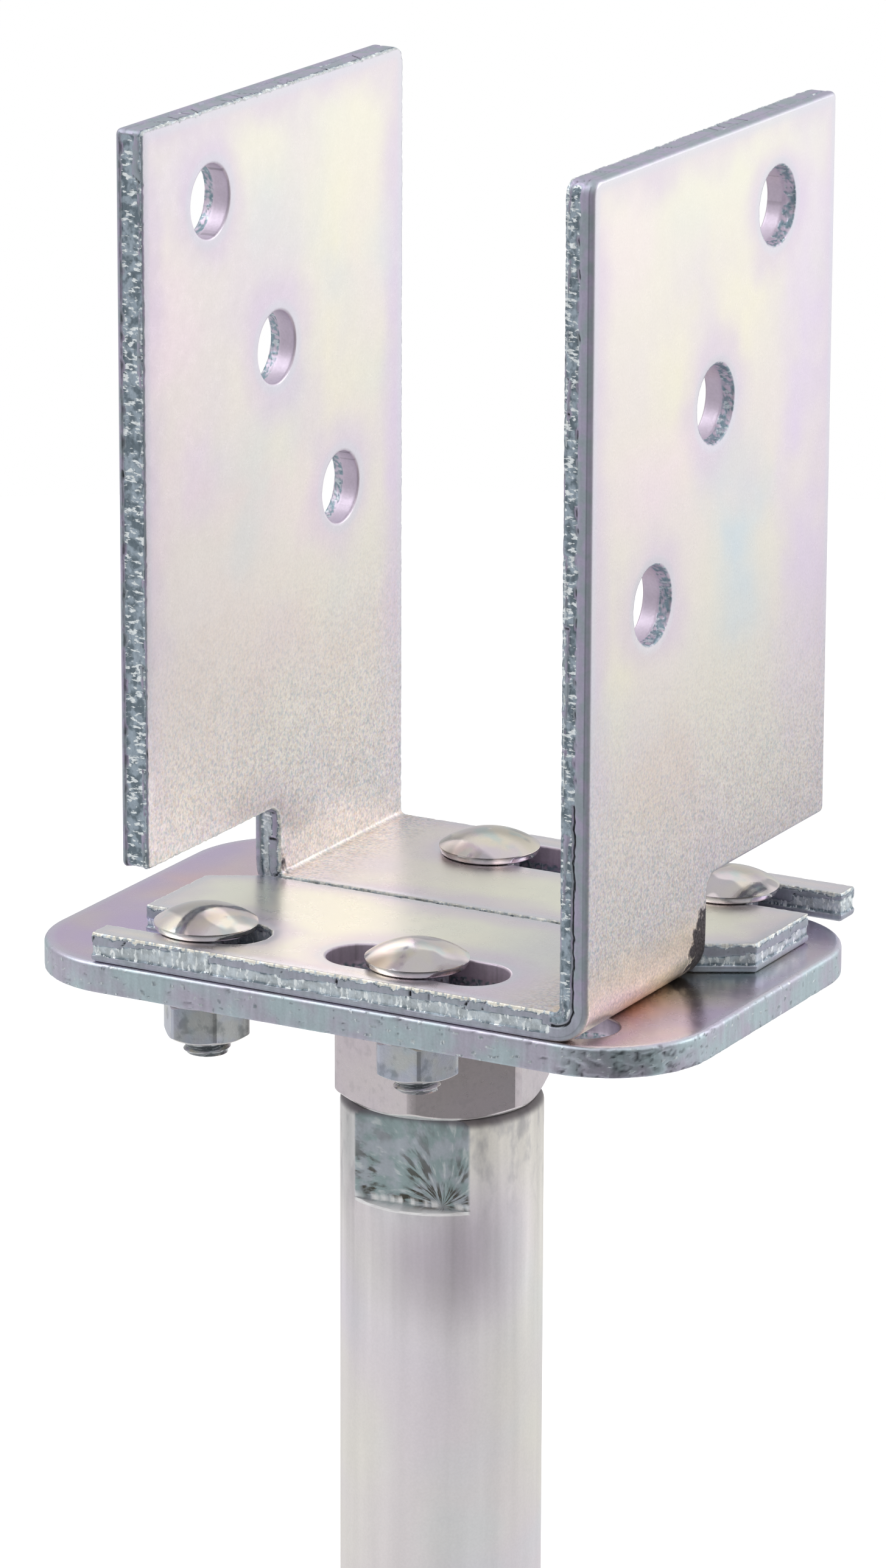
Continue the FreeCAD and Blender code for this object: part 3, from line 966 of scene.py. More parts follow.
@dataclass
class CutLoop:
    """One closed cut in a flat blank: the outline, a hole or a slot."""

    outline: Outline
    edge: CutEdge
    rolled_low: bool
    seed: int
    runs: tuple[ShearRun, ...] = (ShearRun(ENDLESS, burnish=0.2, split=0.62),)
    rough_span: tuple[float, float] = (-99.0, -50.0)
    points: np.ndarray = field(init=False)
    inward: np.ndarray = field(init=False)
    along: np.ndarray = field(init=False)
    normals: np.ndarray = field(init=False)
    slabs: list[tuple[float, float, float]] = field(init=False)

    def __post_init__(self) -> None:
        """Work out the points of the cut, the way into the steel, the lengths along it and its slabs."""
        deepest = self.edge.roll_width * 1.5
        self.points = self.outline.line(0.0)
        self.inward = (self.outline.line(deepest) - self.points) / deepest
        ahead = np.roll(self.points, -1, axis=0)
        behind = np.roll(self.points, 1, axis=0)
        tangents = ahead - behind
        tangents /= np.linalg.norm(tangents, axis=1)[:, None]
        self.normals = np.stack([tangents[:, 1], -tangents[:, 0]], axis=1)
        steps = np.linalg.norm(self.points - behind, axis=1)
        self.along = np.cumsum(steps)
        draw = random.Random(self.seed)
        self.slabs = [(0.0, 0.0, 0.0)]
        place = draw.uniform(1.0, 4.0)
        while place < self.along[-1] - 2.0:
            self.slabs.append((place, draw.uniform(-0.45, 0.45), draw.uniform(-1.8, 1.8)))
            place += draw.choice((3.0, 5.5, 9.0, 14.0)) * draw.uniform(0.7, 1.3)

    def tear(self, along: float, depth: float, thickness: float) -> tuple[float, float]:
        """Return how far the wall is torn back at a point, and its tone from dark -1 to bright 1, which on
        sheared edges carries painted shade and painted glints.
        """
        if self.edge.kind is CutKind.PUNCHED:
            return self.punched(along, depth, thickness)
        if self.edge.kind is CutKind.BLANKED:
            return self.blanked(along, depth, thickness)
        return self.sheared(along, depth, thickness)

    def punched(self, along: float, depth: float, thickness: float) -> tuple[float, float]:
        """Return the wall of a punched hole: burnished where the punch went in, then broken and wider."""
        seed = self.seed * 3.7
        start = thickness * (0.56 + 0.05 * grit(along * 0.3, 0, seed))
        broken = smooth_step(depth, start, start + 0.4)
        rough = abs(grit(along * 1.3, depth * 1.3, seed))
        slope = 0.9 * (depth - start) / thickness
        smooth = 0.012 * grit(along * 2.5, 0, seed)
        lip = smooth_step(depth, thickness - 0.5, thickness) * 0.12 * abs(grit(along * 0.9, 4, seed))
        streak = 0.9 * smooth_step(grit(along * 0.8, 2, seed), 0.3, 0.5)
        tone = broken * (0.55 - rough) - (1 - broken) * streak * 0.5
        return broken * (slope + 0.1 * rough) + (1 - broken) * smooth + lip, tone

    def blanked(self, along: float, depth: float, thickness: float) -> tuple[float, float]:
        """Return the wall of a blanked edge: smooth, with fine streaks and a few pits."""
        seed = self.seed * 3.7
        streak = 0.05 + 0.03 * grit(along * 1.1, depth * 0.15, seed) + 0.015 * grit(along * 2.2, 0, seed)
        rough = smooth_step(along, self.rough_span[0], self.rough_span[0] + 12.0)
        rough *= 1 - smooth_step(along, self.rough_span[1], self.rough_span[1] + 12.0)
        pit = smooth_step(grit(along * 0.55, depth * 0.9, seed + 5) + 0.55 * rough, 0.5, 0.62)
        chip = smooth_step(grit(along * 0.9, depth * 1.4, seed + 8), 0.2, 0.5)
        lip = smooth_step(depth, thickness - 0.5, thickness) * 0.1 * abs(grit(along * 0.9, 4, seed))
        tone = 0.4 * chip - 0.6 * pit * (0.7 + grit(along * 1.7, depth * 1.7, seed))
        return streak + 0.1 * pit + lip, tone

    def sheared(self, along: float, depth: float, thickness: float) -> tuple[float, float]:
        """Return the wall of a sheared edge: a crystalline band, then smooth slabs with a torn border."""
        seed = self.seed * 3.7
        place, offset, lean = self.slabs[0]
        gap = 9.0
        for start, shift, slope in self.slabs:
            distance = along - start - 0.5 * slope * (depth - thickness * 0.8)
            gap = min(gap, abs(distance))
            if distance >= 0:
                place, offset, lean = start, shift, slope
        run = next(run for run in self.runs if along < run.end)
        wave = 0.3 * grit(along * 0.3, 6, seed) + 0.18 * grit(along * 0.9, 7, seed)
        burnished = thickness * run.burnish + wave
        drift = 0.06 * lean * (along - place) + 0.16 * grit(along * 1.1, 1, seed)
        split = thickness * run.split + offset + drift
        slab = smooth_step(depth, split - 0.12, split + 0.12)
        lip_start = thickness - 0.65 + 0.55 * grit(along * 0.5, 3, seed) + 0.35 * grit(along * 1.9, 8, seed)
        lip = smooth_step(depth, lip_start, lip_start + 0.2)
        torn_in = smooth_step(depth, burnished, burnished + 0.25)
        crystal = 0.24 + 0.14 * grit(along * 1.5, depth * 1.5, seed)
        level = 0.05 + 0.05 * offset + 0.03 * grit(along * 0.5, depth * 0.3, seed)
        flake = 0.2 + 0.16 * grit(along * 1.3, depth * 1.3, seed + 4)
        crack = slab * math.exp(-(gap / 0.2) ** 2) * smooth_step(grit(place * 1.7, 5, seed), -0.5, 0.3)
        whole = 1 - run.patchy * smooth_step(grit(along * 0.4, 9, seed), -0.3, 0.0)
        seam = math.exp(-((depth - burnished - 0.25) / 0.36) ** 2) * run.seam * whole
        step = math.exp(-((depth - split + 0.12) / 0.16) ** 2) * max(0.0, grit(along * 0.5, 2, seed))
        inset = (1 - slab) * crystal + slab * ((1 - lip) * level + lip * flake) + 0.3 * crack + 0.2 * seam
        # painted shade in the cracks, along the seam and at the slab steps; painted glints on the
        # crystalline band and the lip
        dark = max(seam, 0.6 * step, 0.75 * crack * (1 - lip))
        tone = (1 - slab) * run.shine + slab * lip * run.lip - 1.9 * dark
        # painted shade: dark lines along the rolled corner and the burr
        corner = math.exp(-((depth - self.edge.roll_height + 0.1) / 0.16) ** 2)
        border = run.border * max(corner, smooth_step(depth, thickness - 0.4, thickness - 0.15))
        return torn_in * inset, torn_in * tone - border


Mapping = Callable[[np.ndarray], np.ndarray]
Marker = Callable[[np.ndarray], dict[str, np.ndarray]]
Rim = tuple[np.ndarray, np.ndarray]


@dataclass
class Blank:
    """A flat blank of sheet steel, cut by an outline, holes and slots."""

    thickness: float
    loops: list[CutLoop]
    fold_rows: tuple[float, float] | None = None
    clear: float = 1.7
    near: float = 5.0
    near_spacing: float = 1.0
    far_spacing: float = 3.0
    fold_margin: float = 0.6
    fold_lines: int = 13
    fold_spacing: float = 1.4

    def walls(self, piece: PieceMesh, place: Mapping, marks: Marker) -> tuple[list[Rim], list[Rim]]:
        """Add the cut walls and return their rims on the low and the high face."""
        low_rims = []
        high_rims = []
        for loop in self.loops:
            count = len(loop.points)
            rows = []
            section = loop.edge.section(self.thickness)
            for inset, depth in section if loop.rolled_low else section[::-1]:
                torn = np.zeros(count)
                tone = np.zeros(count)
                if inset < loop.edge.roll_width:
                    for index in range(count):
                        torn[index], tone[index] = loop.tear(loop.along[index], depth, self.thickness)
                flat = loop.points + loop.inward * (inset + torn)[:, None]
                level = depth if loop.rolled_low else self.thickness - depth
                solid = np.column_stack([flat, np.full(count, level)])
                cut = 1 - smooth_step(inset, 0.0, loop.edge.roll_width)
                if depth > self.thickness / 2:
                    cut = float(depth < self.thickness - HAIR)
                bore = float(loop.edge.kind is CutKind.PUNCHED)
                even = {"cut": cut, "bore": bore, "rim": inset}
                held = {key: np.full(count, amount) for key, amount in even.items()}
                held |= {"tear": tone, **marks(flat)}
                rows.append((flat, piece.add(place(solid), held) + np.arange(count)))
            for (_, row), (_, following) in zip(rows, rows[1:]):
                for index in range(count):
                    after = (index + 1) % count
                    piece.faces.append((row[index], row[after], following[after], following[index]))
            low_rims.append(rows[0])
            high_rims.append(rows[-1])
        return low_rims, high_rims

    def near_fold(self, along: float) -> bool:
        """Return whether a place along the blank is so near the fold that the fold's own rows serve it."""
        if self.fold_rows is None:
            return False
        start, end = self.fold_rows
        return start - self.fold_margin < along < end + self.fold_margin

    def inner_points(self) -> tuple[np.ndarray, np.ndarray]:
        """Return points over the faces, closest near the cuts and the fold, and how far in each lies."""
        outline = np.concatenate([loop.points for loop in self.loops])
        normals = np.concatenate([loop.normals for loop in self.loops])
        tree = KDTree(len(outline))
        for number, point in enumerate(outline):
            tree.insert((point[0], point[1], 0), number)
        tree.balance()
        low = outline.min(axis=0)
        high = outline.max(axis=0)
        tried = []
        grids = ((self.near_spacing, self.clear, self.near), (self.far_spacing, self.near, ENDLESS))
        for spacing, least, most in grids:
            for x in np.arange(low[0] + spacing / 2, high[0], spacing):
                if self.near_fold(x):
                    continue
                tried.extend((x, y, least, most) for y in np.arange(low[1] + spacing / 2, high[1], spacing))
        if self.fold_rows:
            rows = np.arange(low[1] + self.fold_spacing / 2, high[1], self.fold_spacing)
            for x in np.linspace(*self.fold_rows, self.fold_lines):
                tried.extend((x, y, self.clear, ENDLESS) for y in rows)
        found = []
        for x, y, least, most in tried:
            nearest, number, distance = tree.find((x, y, 0))
            inside = (Vector((x, y)) - nearest.to_2d()).dot(Vector(normals[number])) < 0
            if inside and least < distance <= most:
                found.append((x, y, distance))
        found = np.array(found)
        return found[:, :2], found[:, 2]

    def build(self, name: str, place: Mapping, marks: Marker) -> PieceMesh:
        """Make the blank as a closed mesh.

        Args:
            name: The piece's name.
            place: Carries points of the flat blank to where they lie in the model.
            marks: Gives further marks of points from their flat places.

        Returns:
            The piece, ready to be made into an object.
        """
        piece = PieceMesh(name)
        low_rims, high_rims = self.walls(piece, place, marks)
        inner, distances = self.inner_points()
        for rims, level in ((low_rims, 0.0), (high_rims, self.thickness)):
            solid = np.column_stack([inner, np.full(len(inner), level)])
            first = piece.add(place(solid), {"rim": distances, **marks(inner)})
            self.cap(piece, rims, inner, first, level > 0)
        return piece

    def cap(self, piece: PieceMesh, rims: list[Rim], inner: np.ndarray, first: int, upward: bool) -> None:
        """Fill one face of the blank between the rims of its cuts, through its inner points."""
        flat = []
        edges = []
        numbers = []
        for points, rim in rims:
            start = len(flat)
            flat.extend(map(Vector, points))
            numbers.extend(rim)
            edges.extend((start + index, start + (index + 1) % len(rim)) for index in range(len(rim)))
        rim_count = len(flat)
        flat.extend(map(Vector, inner))
        numbers.extend(range(first, first + len(inner)))
        corners, _, triangles, origins, _, _ = delaunay_2d_cdt(flat, edges, [], 0, HAIR, True)
        lines = [points for points, _ in rims]
        for triangle in triangles:
            members = [origins[corner][0] for corner in triangle]
            middle = sum((corners[corner] for corner in triangle), Vector((0, 0))) / 3
            if all(member < rim_count for member in members) and not is_inside(middle, lines):
                continue
            face = tuple(int(numbers[member]) for member in members)
            piece.faces.append(face if upward else face[::-1])


@dataclass
class FoldedCheek:
    """One folded cheek: a wide upright and a slotted leg, cut from one blank."""

    node: str
    turned: bool
    seed: int
    clouds: tuple[Cloud, ...]
    sooty: float
    # painted shade near the fold
    gloom: float
    # strength of the painted highlight along the bend
    gilt: float
    sheet: float = 5.0
    fold_inner: float = 1.0
    upright_height: float = 138.0
    notch_height: float = 17.0
    notch_radius: float = 3.0
    half_width: float = 42.0
    seam: float = 0.4
    leg: float = 91.0
    leg_corner: float = 0.5
    front_corner: float = 2.5
    back_corner: float = 1.0
    nick_corner: float = 0.6
    mouth_corner: float = 0.4
    corner_cut: tuple[float, float] = (9.0, 5.0)
    slot_row: float = 30.7
    slot_width: float = 12.0
    closed_slot: tuple[float, float] = (20.5, 52.5)
    open_slot: float = 64.6
    hole_width: float = 12.0
    hole_places: tuple[tuple[float, float], ...] = ((21.0, 123.0), (0.0, 95.0), (-21.0, 67.0))
    fold_run: float = 5.5
    bulge: float = 0.45
    pinch_reach: float = 3.2
    pinch_width: float = 4.0
    leg_calm: float = 5.0
    soot_reach: float = 4.8
    soot_core: float = 1.7
    soot_most: float = 1.4
    painted_fold_shade_reach: float = 75.0
    painted_fold_shade_lean: float = 0.25
    crack_length: float = 34.0
    outer_edge: CutEdge = CutEdge(CutKind.SHEARED, 0.8, 0.9)
    hole_edge: CutEdge = CutEdge(CutKind.PUNCHED, 0.45, 0.4)

    @property
    def fold_outer(self) -> float:
        """Return the radius of the fold's outside."""
        return self.fold_inner + self.sheet

    @property
    def fold_start(self) -> float:
        """Return where the fold starts along the flat blank, from the leg's end."""
        return self.leg - self.fold_outer

    @property
    def fold_end(self) -> float:
        """Return where the fold ends along the flat blank."""
        return self.fold_start + self.fold_run

    def up(self, height: float) -> float:
        """Return the place along the blank of a height on the upright."""
        return self.fold_end + height - self.fold_outer

    def shear_runs(self) -> tuple[ShearRun, ...]:
        """Return how the outline's runs tore: leg, low and high front side, top, back side, the rest."""
        crack_end = self.fold_end + self.crack_length
        top = self.up(self.upright_height)
        across = top + 2 * self.half_width
        down = across + self.upright_height - self.notch_height
        return (
            ShearRun(self.fold_start, burnish=0.24, split=0.62, seam=0.1, shine=1.0, lip=1.6),
            ShearRun(crack_end, burnish=0.46, split=0.9, seam=1.0, shine=0.55, border=0.6),
            ShearRun(top, burnish=0.46, split=0.9, seam=0.8, shine=0.6, lip=1.2, patchy=0.9, border=0.8),
            ShearRun(across, burnish=0.3, split=0.4, seam=0.2, shine=0.5, lip=1.2),
            ShearRun(down, burnish=0.16, split=0.82, shine=0.6, patchy=1.0, border=0.9),
            ShearRun(ENDLESS, burnish=0.24, split=0.62, seam=0.2, shine=1.0, lip=1.3),
        )

    def cuts(self) -> list[CutLoop]:
        """Return the outline, the holes and the slot of the flat blank."""
        half = self.half_width
        top = self.up(self.upright_height)
        notch = self.up(self.notch_height)
        radius = self.slot_width / 2
        slot_end = self.leg - self.open_slot
        low_side = -self.slot_row - radius
        high_side = -self.slot_row + radius
        corners = (
            (0.0, -half, self.leg_corner),
            (top, -half, self.front_corner),
            (top, half, self.back_corner),
            (notch, half, self.back_corner),
            (notch, -self.seam, self.notch_radius),
            (self.corner_cut[0], -self.seam, self.nick_corner),
            (0.0, -self.seam - self.corner_cut[1], self.nick_corner),
            (0.0, high_side, self.mouth_corner),
            (slot_end, high_side, radius),
            (slot_end, low_side, radius),
            (0.0, low_side, self.mouth_corner),
        )
        loops = [CutLoop(Outline(corners), self.outer_edge, True, self.seed, self.shear_runs())]
        near, far = self.closed_slot
        slot = slot_outline((self.leg - far, low_side), (self.leg - near, high_side))
        loops.append(CutLoop(slot, self.hole_edge, False, self.seed + 1))
        reach = self.hole_width / 2
        for number, (across, height) in enumerate(self.hole_places):
            along = self.up(height)
            hole = slot_outline((along - reach, across - reach), (along + reach, across + reach))
            loops.append(CutLoop(hole, self.hole_edge, False, self.seed + 2 + number))
        return loops

    def fold(self, flat: np.ndarray) -> np.ndarray:
        """Carry points of the flat blank to their places on the folded cheek."""
        along, across, level = flat.T
        bend = np.clip((along - self.fold_start) / self.fold_run, 0, 1) * math.pi / 2
        radius = self.fold_outer - level
        straight = np.minimum(along, self.fold_start) - self.leg
        x = straight + radius * np.sin(bend)
        z = self.fold_outer - radius * np.cos(bend) + np.maximum(along - self.fold_end, 0)
        middle = (self.fold_start + self.fold_end) / 2
        nearness = np.exp(-((along - middle) / self.pinch_reach) ** 2)
        pinch = nearness * (1 - level / self.sheet) * self.bulge
        from_side = np.minimum(across + self.half_width, self.pinch_width) / self.pinch_width
        from_seam = np.clip(-self.seam - across, 0, self.pinch_width) / self.pinch_width
        y = across + pinch * (1 - from_side) ** 2 - pinch * (1 - from_seam) ** 2
        return self.stand(np.column_stack([x, y, z]))

    def stand(self, points: np.ndarray) -> np.ndarray:
        """Carry points of the cheek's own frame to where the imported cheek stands."""
        low, high = box_mm(self.node)
        middle = (low.y + high.y) / 2
        if self.turned:
            return points * (-1, -1, 1) + (low.x, middle, low.z)
        return points + (high.x, middle, low.z)

    def face_marks(self, flat: np.ndarray) -> dict[str, np.ndarray]:
        """Return each point's distance from the fold, its painted bend highlight, its painted fold shade,
        its soot and its clouds.
        """
        beyond = np.maximum(flat[:, 0] - self.fold_end, (self.fold_start - flat[:, 0]) * self.leg_calm)
        from_end = np.hypot((flat[:, 0] - self.fold_end + 1.0) * 0.8, -self.seam - flat[:, 1])
        marks = cloud_marks(flat - (self.up(0.0), 0.0), self.clouds, self.seed)
        marks["fold"] = np.maximum(beyond, 0.0)
        # painted shade near the fold, strongest close to it and leaning towards one side
        closeness = np.clip(1 - marks["fold"] / self.painted_fold_shade_reach, 0, 1)
        # painted highlight along the bend, at this cheek's strength
        marks["gilt"] = np.full(len(flat), self.gilt)
        lean = 1 - self.painted_fold_shade_lean + self.painted_fold_shade_lean * flat[:, 1] / self.half_width
        marks["gloom"] = self.gloom * closeness**2 * lean
        soot = np.clip(self.soot_core - from_end / self.soot_reach, 0.0, self.soot_most)
        marks["soot"] = soot * self.sooty
        return marks

    def build(self, finish: bpy.types.Material) -> bpy.types.Object:
        """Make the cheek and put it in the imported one's place."""
        blank = Blank(self.sheet, self.cuts(), (self.fold_start, self.fold_end))
        made = blank.build(f"{self.node}_steel", self.fold, self.face_marks).build(finish, 40)
        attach(made, self.node)
        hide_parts(self.node)
        return made


@dataclass
class BasePlate:
    """The blanked plate that carries the cheeks, with its bolt holes."""

    node: str = "base_plate"
    corner_radius: float = 18.0
    hole_width: float = 12.0
    spindle_hole: float = 20.04
    from_side: float = 10.0
    spare_from_end: float = 18.4
    push: tuple[float, float] = (1.198, 1.749)
    pitted: tuple[float, float] = (-6.0, 22.0)
    fold_away: float = 99.0
    seed: int = 40
    cloud_seed: float = 4.0
    outer_edge: CutEdge = CutEdge(CutKind.BLANKED, 0.9, 0.75)
    hole_edge: CutEdge = CutEdge(CutKind.PUNCHED, 0.4, 0.35)

    def hole_centres(self) -> list[tuple[float, float]]:
        """Return the centres of the bolt holes and the two spare ones."""
        low, high = box_mm(self.node)
        centres = []
        for fitting in FITTINGS:
            bolt = centre_mm(f"{fitting.place}_bolt")
            centres.append((bolt.x - self.push[0], bolt.y - self.push[1]))
        centres.append((high.x - self.spare_from_end, low.y + self.from_side))
        centres.append((low.x + self.spare_from_end, high.y - self.from_side))
        return centres

    def build(self, finish: bpy.types.Material) -> bpy.types.Object:
        """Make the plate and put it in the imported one's place."""
        low, high = box_mm(self.node)
        radius = self.corner_radius
        places = ((low.x, low.y), (high.x, low.y), (high.x, high.y), (low.x, high.y))
        rounded = Outline(tuple((x, y, radius) for x, y in places))
        corner = high.x - low.x - 2 * radius + 0.5 * math.pi * radius
        rough_span = (corner + self.pitted[0], corner + self.pitted[1])
        loops = [CutLoop(rounded, self.outer_edge, False, self.seed, rough_span=rough_span)]
        holes = [(centre, self.hole_width) for centre in self.hole_centres()]
        holes.append(((0.0, 0.0), self.spindle_hole))
        for number, ((x, y), width) in enumerate(holes):
            reach = width / 2
            hole = slot_outline((x - reach, y - reach), (x + reach, y + reach))
            loops.append(CutLoop(hole, self.hole_edge, False, self.seed + 1 + number))
        blank = Blank(high.z - low.z, loops)

        def lift(flat: np.ndarray) -> np.ndarray:
            """Carry points of the blank up to the plate's height."""
            return flat + (0, 0, low.z)

        def marks(flat: np.ndarray) -> dict[str, np.ndarray]:
            """Return the tints' marks, with one that says that the plate has no fold."""
            clouds = cloud_marks(flat, PLATE_CLOUDS, self.cloud_seed)
            return {"fold": np.full(len(flat), self.fold_away), **clouds}

        made = blank.build("base_plate_steel", lift, marks).build(finish, 40)
        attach(made, "head")
        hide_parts(self.node)
        return made


@dataclass(frozen=True)
class Fitting:
    """A bolt's place, the angle of its nut's first corner in degrees, and how much painted shade its head
    gets, negative for painted light.
    """

    place: str
    nut_angle: float
    dull: float


# painted shade on each head, negative for lighter
FITTINGS = (
    Fitting("front_left", 10.9, -0.1),
    Fitting("front_middle", 1.2, 0.06),
    Fitting("rear_middle", 25.0, 0.2),
    Fitting("rear_right", 43.0, 0.1),
)


Spread = Union[float, np.ndarray]


class Rings:
    """A round or prismatic piece, built as rings of points about an upright axis."""

    def __init__(self, count: int, start: float = 0.0) -> None:
        """Set how many points each ring has and the angle of the first one."""
        self.count = count
        self.angles = start + np.arange(count) / count * FULL_TURN
        self.rows: list[tuple[np.ndarray, np.ndarray]] = []
        self.marks: dict[str, list[np.ndarray]] = {}

    def add(self, radius: Spread, height: Spread, **marks: Spread) -> None:
        """Add a ring with its radius, height and marks, each one number or one for each angle."""
        spread = np.ones(self.count)
        self.rows.append((radius * spread, height * spread))
        for name in set(self.marks) | set(marks):
            held = self.marks.setdefault(name, [0.0 * spread] * (len(self.rows) - 1))
            held.append(marks.get(name, 0.0) * spread)

    def build(self, name: str, centre: Vector, hollow: bool) -> PieceMesh:
        """Join the rings, from the top down outside, into a closed piece.

        Args:
            name: The piece's name.
            centre: The place of its axis and of its zero height.
            hollow: True where the last ring joins the first, False where both ends are closed.

        Returns:
            The piece, ready to be made into an object.
        """
        piece = PieceMesh(name)
        numbers = []
        for index, (radius, height) in enumerate(self.rows):
            x = centre.x + radius * np.cos(self.angles)
            y = centre.y + radius * np.sin(self.angles)
            marks = {key: held[index] for key, held in self.marks.items()}
            first = piece.add(np.column_stack([x, y, centre.z + height]), marks)
            numbers.append([first + offset for offset in range(self.count)])
        pairs = list(zip(numbers, numbers[1:]))
        if hollow:
            pairs.append((numbers[-1], numbers[0]))
        for upper, lower in pairs:
            for index in range(self.count):
                after = (index + 1) % self.count
                piece.faces.append((upper[index], lower[index], lower[after], upper[after]))
        if not hollow:
            for row, (_, height), order in ((numbers[0], self.rows[0], 1), (numbers[-1], self.rows[-1], -1)):
                pole = piece.add(np.array([[centre.x, centre.y, centre.z + height.mean()]]), {})
                for index in range(self.count):
                    pair = (row[index], row[(index + 1) % self.count])
                    piece.faces.append((pole, *pair[::order]))
        return piece


def thread_radius(
    angles: np.ndarray, height: float, crest: float, thread: Thread, fade: float
) -> tuple[np.ndarray, np.ndarray]:
    """Return the radius of a right-hand thread at each angle of one height, and how deep in the root it is.

    Args:
        angles: The angles of the ring's points.
        height: The ring's height in millimetres.
        crest: The radius over the thread's crests.
        thread: Which thread it is.
        fade: From 0, plain, to 1, full depth.

    Returns:
        The radii, and marks from 0 on the crest to 1 in the root.
    """
    phase = np.mod(height / THREAD_PITCH[thread] - angles / FULL_TURN, 1.0)
    groove = np.clip((1 - np.abs(phase * 2 - 1)) * 1.3 - 0.15, 0, 1)
    return crest - groove * THREAD_DEPTH[thread] * fade, groove * fade


def hexagon_radius(angles: np.ndarray, across: float, corner_angle: float, softness: float) -> np.ndarray:
    """Return the radius of a hexagon's side at each angle, with its corners cut back a little."""
    from_flat = np.mod(angles - corner_angle, FULL_TURN / 6) - FULL_TURN / 12
    radius = across / 2 / np.cos(from_flat)
    return np.minimum(radius, across / 2 / math.cos(FULL_TURN / 12) - softness)


@dataclass
class CarriageBolt:
    """A carriage bolt: domed head, square neck, plain shank and rolled thread."""

    place: str
    # painted shade on this head's dome
    dull: float = 0.0
    head_width: float = 17.0
    head_height: float = 4.1
    running_gap: float = 0.02
    rim_height: float = 1.3
    rim_tuck: float = 0.7
    neck_width: float = 7.8
    neck_depth: float = 4.6
    shank_width: float = 7.7
    thread_width: float = 7.9
    length: float = 21.0
    thread_length: float = 12.0
    thread: Thread = Thread.M8
    dome_steps: int = 26
    tuck_steps: int = 4
    turn_steps: int = 10

    def build(self, finish: bpy.types.Material) -> bpy.types.Object:
        """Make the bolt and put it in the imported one's place."""
        node = f"{self.place}_bolt"
        _, high = box_mm(node)
        under_head = high.z - self.head_height + self.running_gap
        middle = centre_mm(node)
        rings = Rings(96, math.pi / 4)
        rim = self.head_width / 2
        rise = self.head_height - self.running_gap - self.rim_height
        dome = (rim * rim + rise * rise) / (2 * rise)
        for step in range(1, self.dome_steps + 1):
            radius = rim * math.sin(step / self.dome_steps * math.pi / 2)
            if step == self.dome_steps:
                radius = rim - 0.05
            height = self.head_height - self.running_gap - dome + math.sqrt(dome * dome - radius * radius)
            # the head's dome carries its painted shade
            rings.add(radius, height, dull=self.dull)
        rings.add(rim, self.rim_height - 0.08)
        rings.add(rim, self.rim_height - 0.2, side=0.5)
        rings.add(rim - 0.06, self.rim_height * 0.58, side=0.5)
        for step in range(self.tuck_steps + 1):
            turn = step / self.tuck_steps * math.pi / 2
            radius = rim - 0.1 - (self.rim_tuck - 0.1) * (1 - math.cos(turn))
            rings.add(radius, self.rim_height * 0.5 * (1 - math.sin(turn)), side=0.2)
        rings.add(rim - self.rim_tuck - 0.3, 0.0, side=0.4)
        flat = self.neck_width / 2
        from_side = np.mod(rings.angles + math.pi / 4, math.pi / 2) - math.pi / 4
        square = np.minimum(flat / np.cos(from_side), flat * math.sqrt(2) - 0.35)
        rings.add(square, 0.0, side=1.0)
        rings.add(square, -self.neck_depth + 0.3, side=1.0)
        rings.add(self.shank_width / 2, -self.neck_depth, side=0.6)
        start = -self.length + self.thread_length
        rings.add(self.shank_width / 2, start + 0.4, side=0.6)
        count = int(self.thread_length / THREAD_PITCH[self.thread] * self.turn_steps)
        for step in range(count + 1):
            height = start - self.thread_length * step / count
            fade = smooth_step(step, 0, 6) * smooth_step(count - step, -4, 6)
            crest = self.thread_width / 2 - 0.45 * smooth_step(step, count - 6, count)
            radius, root = thread_radius(rings.angles, height, crest, self.thread, fade)
            # root marks carry painted shade into the thread's grooves
            rings.add(radius, height, side=0.7, root=0.6 * root)
        rings.add(self.thread_width / 2 - 1.2, -self.length, side=0.6)
        piece = rings.build(f"{node}_steel", Vector((middle.x, middle.y, under_head)), False)
        made = piece.build(finish, 38)
        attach(made, "head")
        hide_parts(node)
        return made


@dataclass
class PlainWasher:
    """A stamped washer, rolled at its upper rim."""

    place: str
    hole_width: float = 8.4
    rounding: float = 0.35

    def build(self, finish: bpy.types.Material) -> bpy.types.Object:
        """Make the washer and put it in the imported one's place."""
        node = f"{self.place}_washer"
        low, high = box_mm(node)
        middle = centre_mm(node)
        outer = (high.x - low.x) / 2
        inner = self.hole_width / 2
        thickness = high.z - low.z
        rings = Rings(72)
        soft = self.rounding
        rings.add(outer - soft, thickness)
        rings.add(outer - 0.12, thickness - 0.12, side=0.5)
        rings.add(outer, thickness - soft, side=1.0)
        wave = np.array([grit(3 * math.cos(angle), 3 * math.sin(angle), 7.0) for angle in rings.angles])
        rings.add(outer - 0.03 * np.abs(wave), 0.2, side=1.0)
        rings.add(outer - 0.16, 0.0, side=0.4)
        rings.add(inner + 0.15, 0.0, side=0.3)
        rings.add(inner, 0.2, side=1.0)
        rings.add(inner, thickness - 0.3, side=1.0)
        rings.add(inner + 0.3, thickness)
        piece = rings.build(f"{node}_steel", Vector((middle.x, middle.y, low.z)), True)
        made = piece.build(finish, 35)
        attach(made, "head")
        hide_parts(node)
        return made


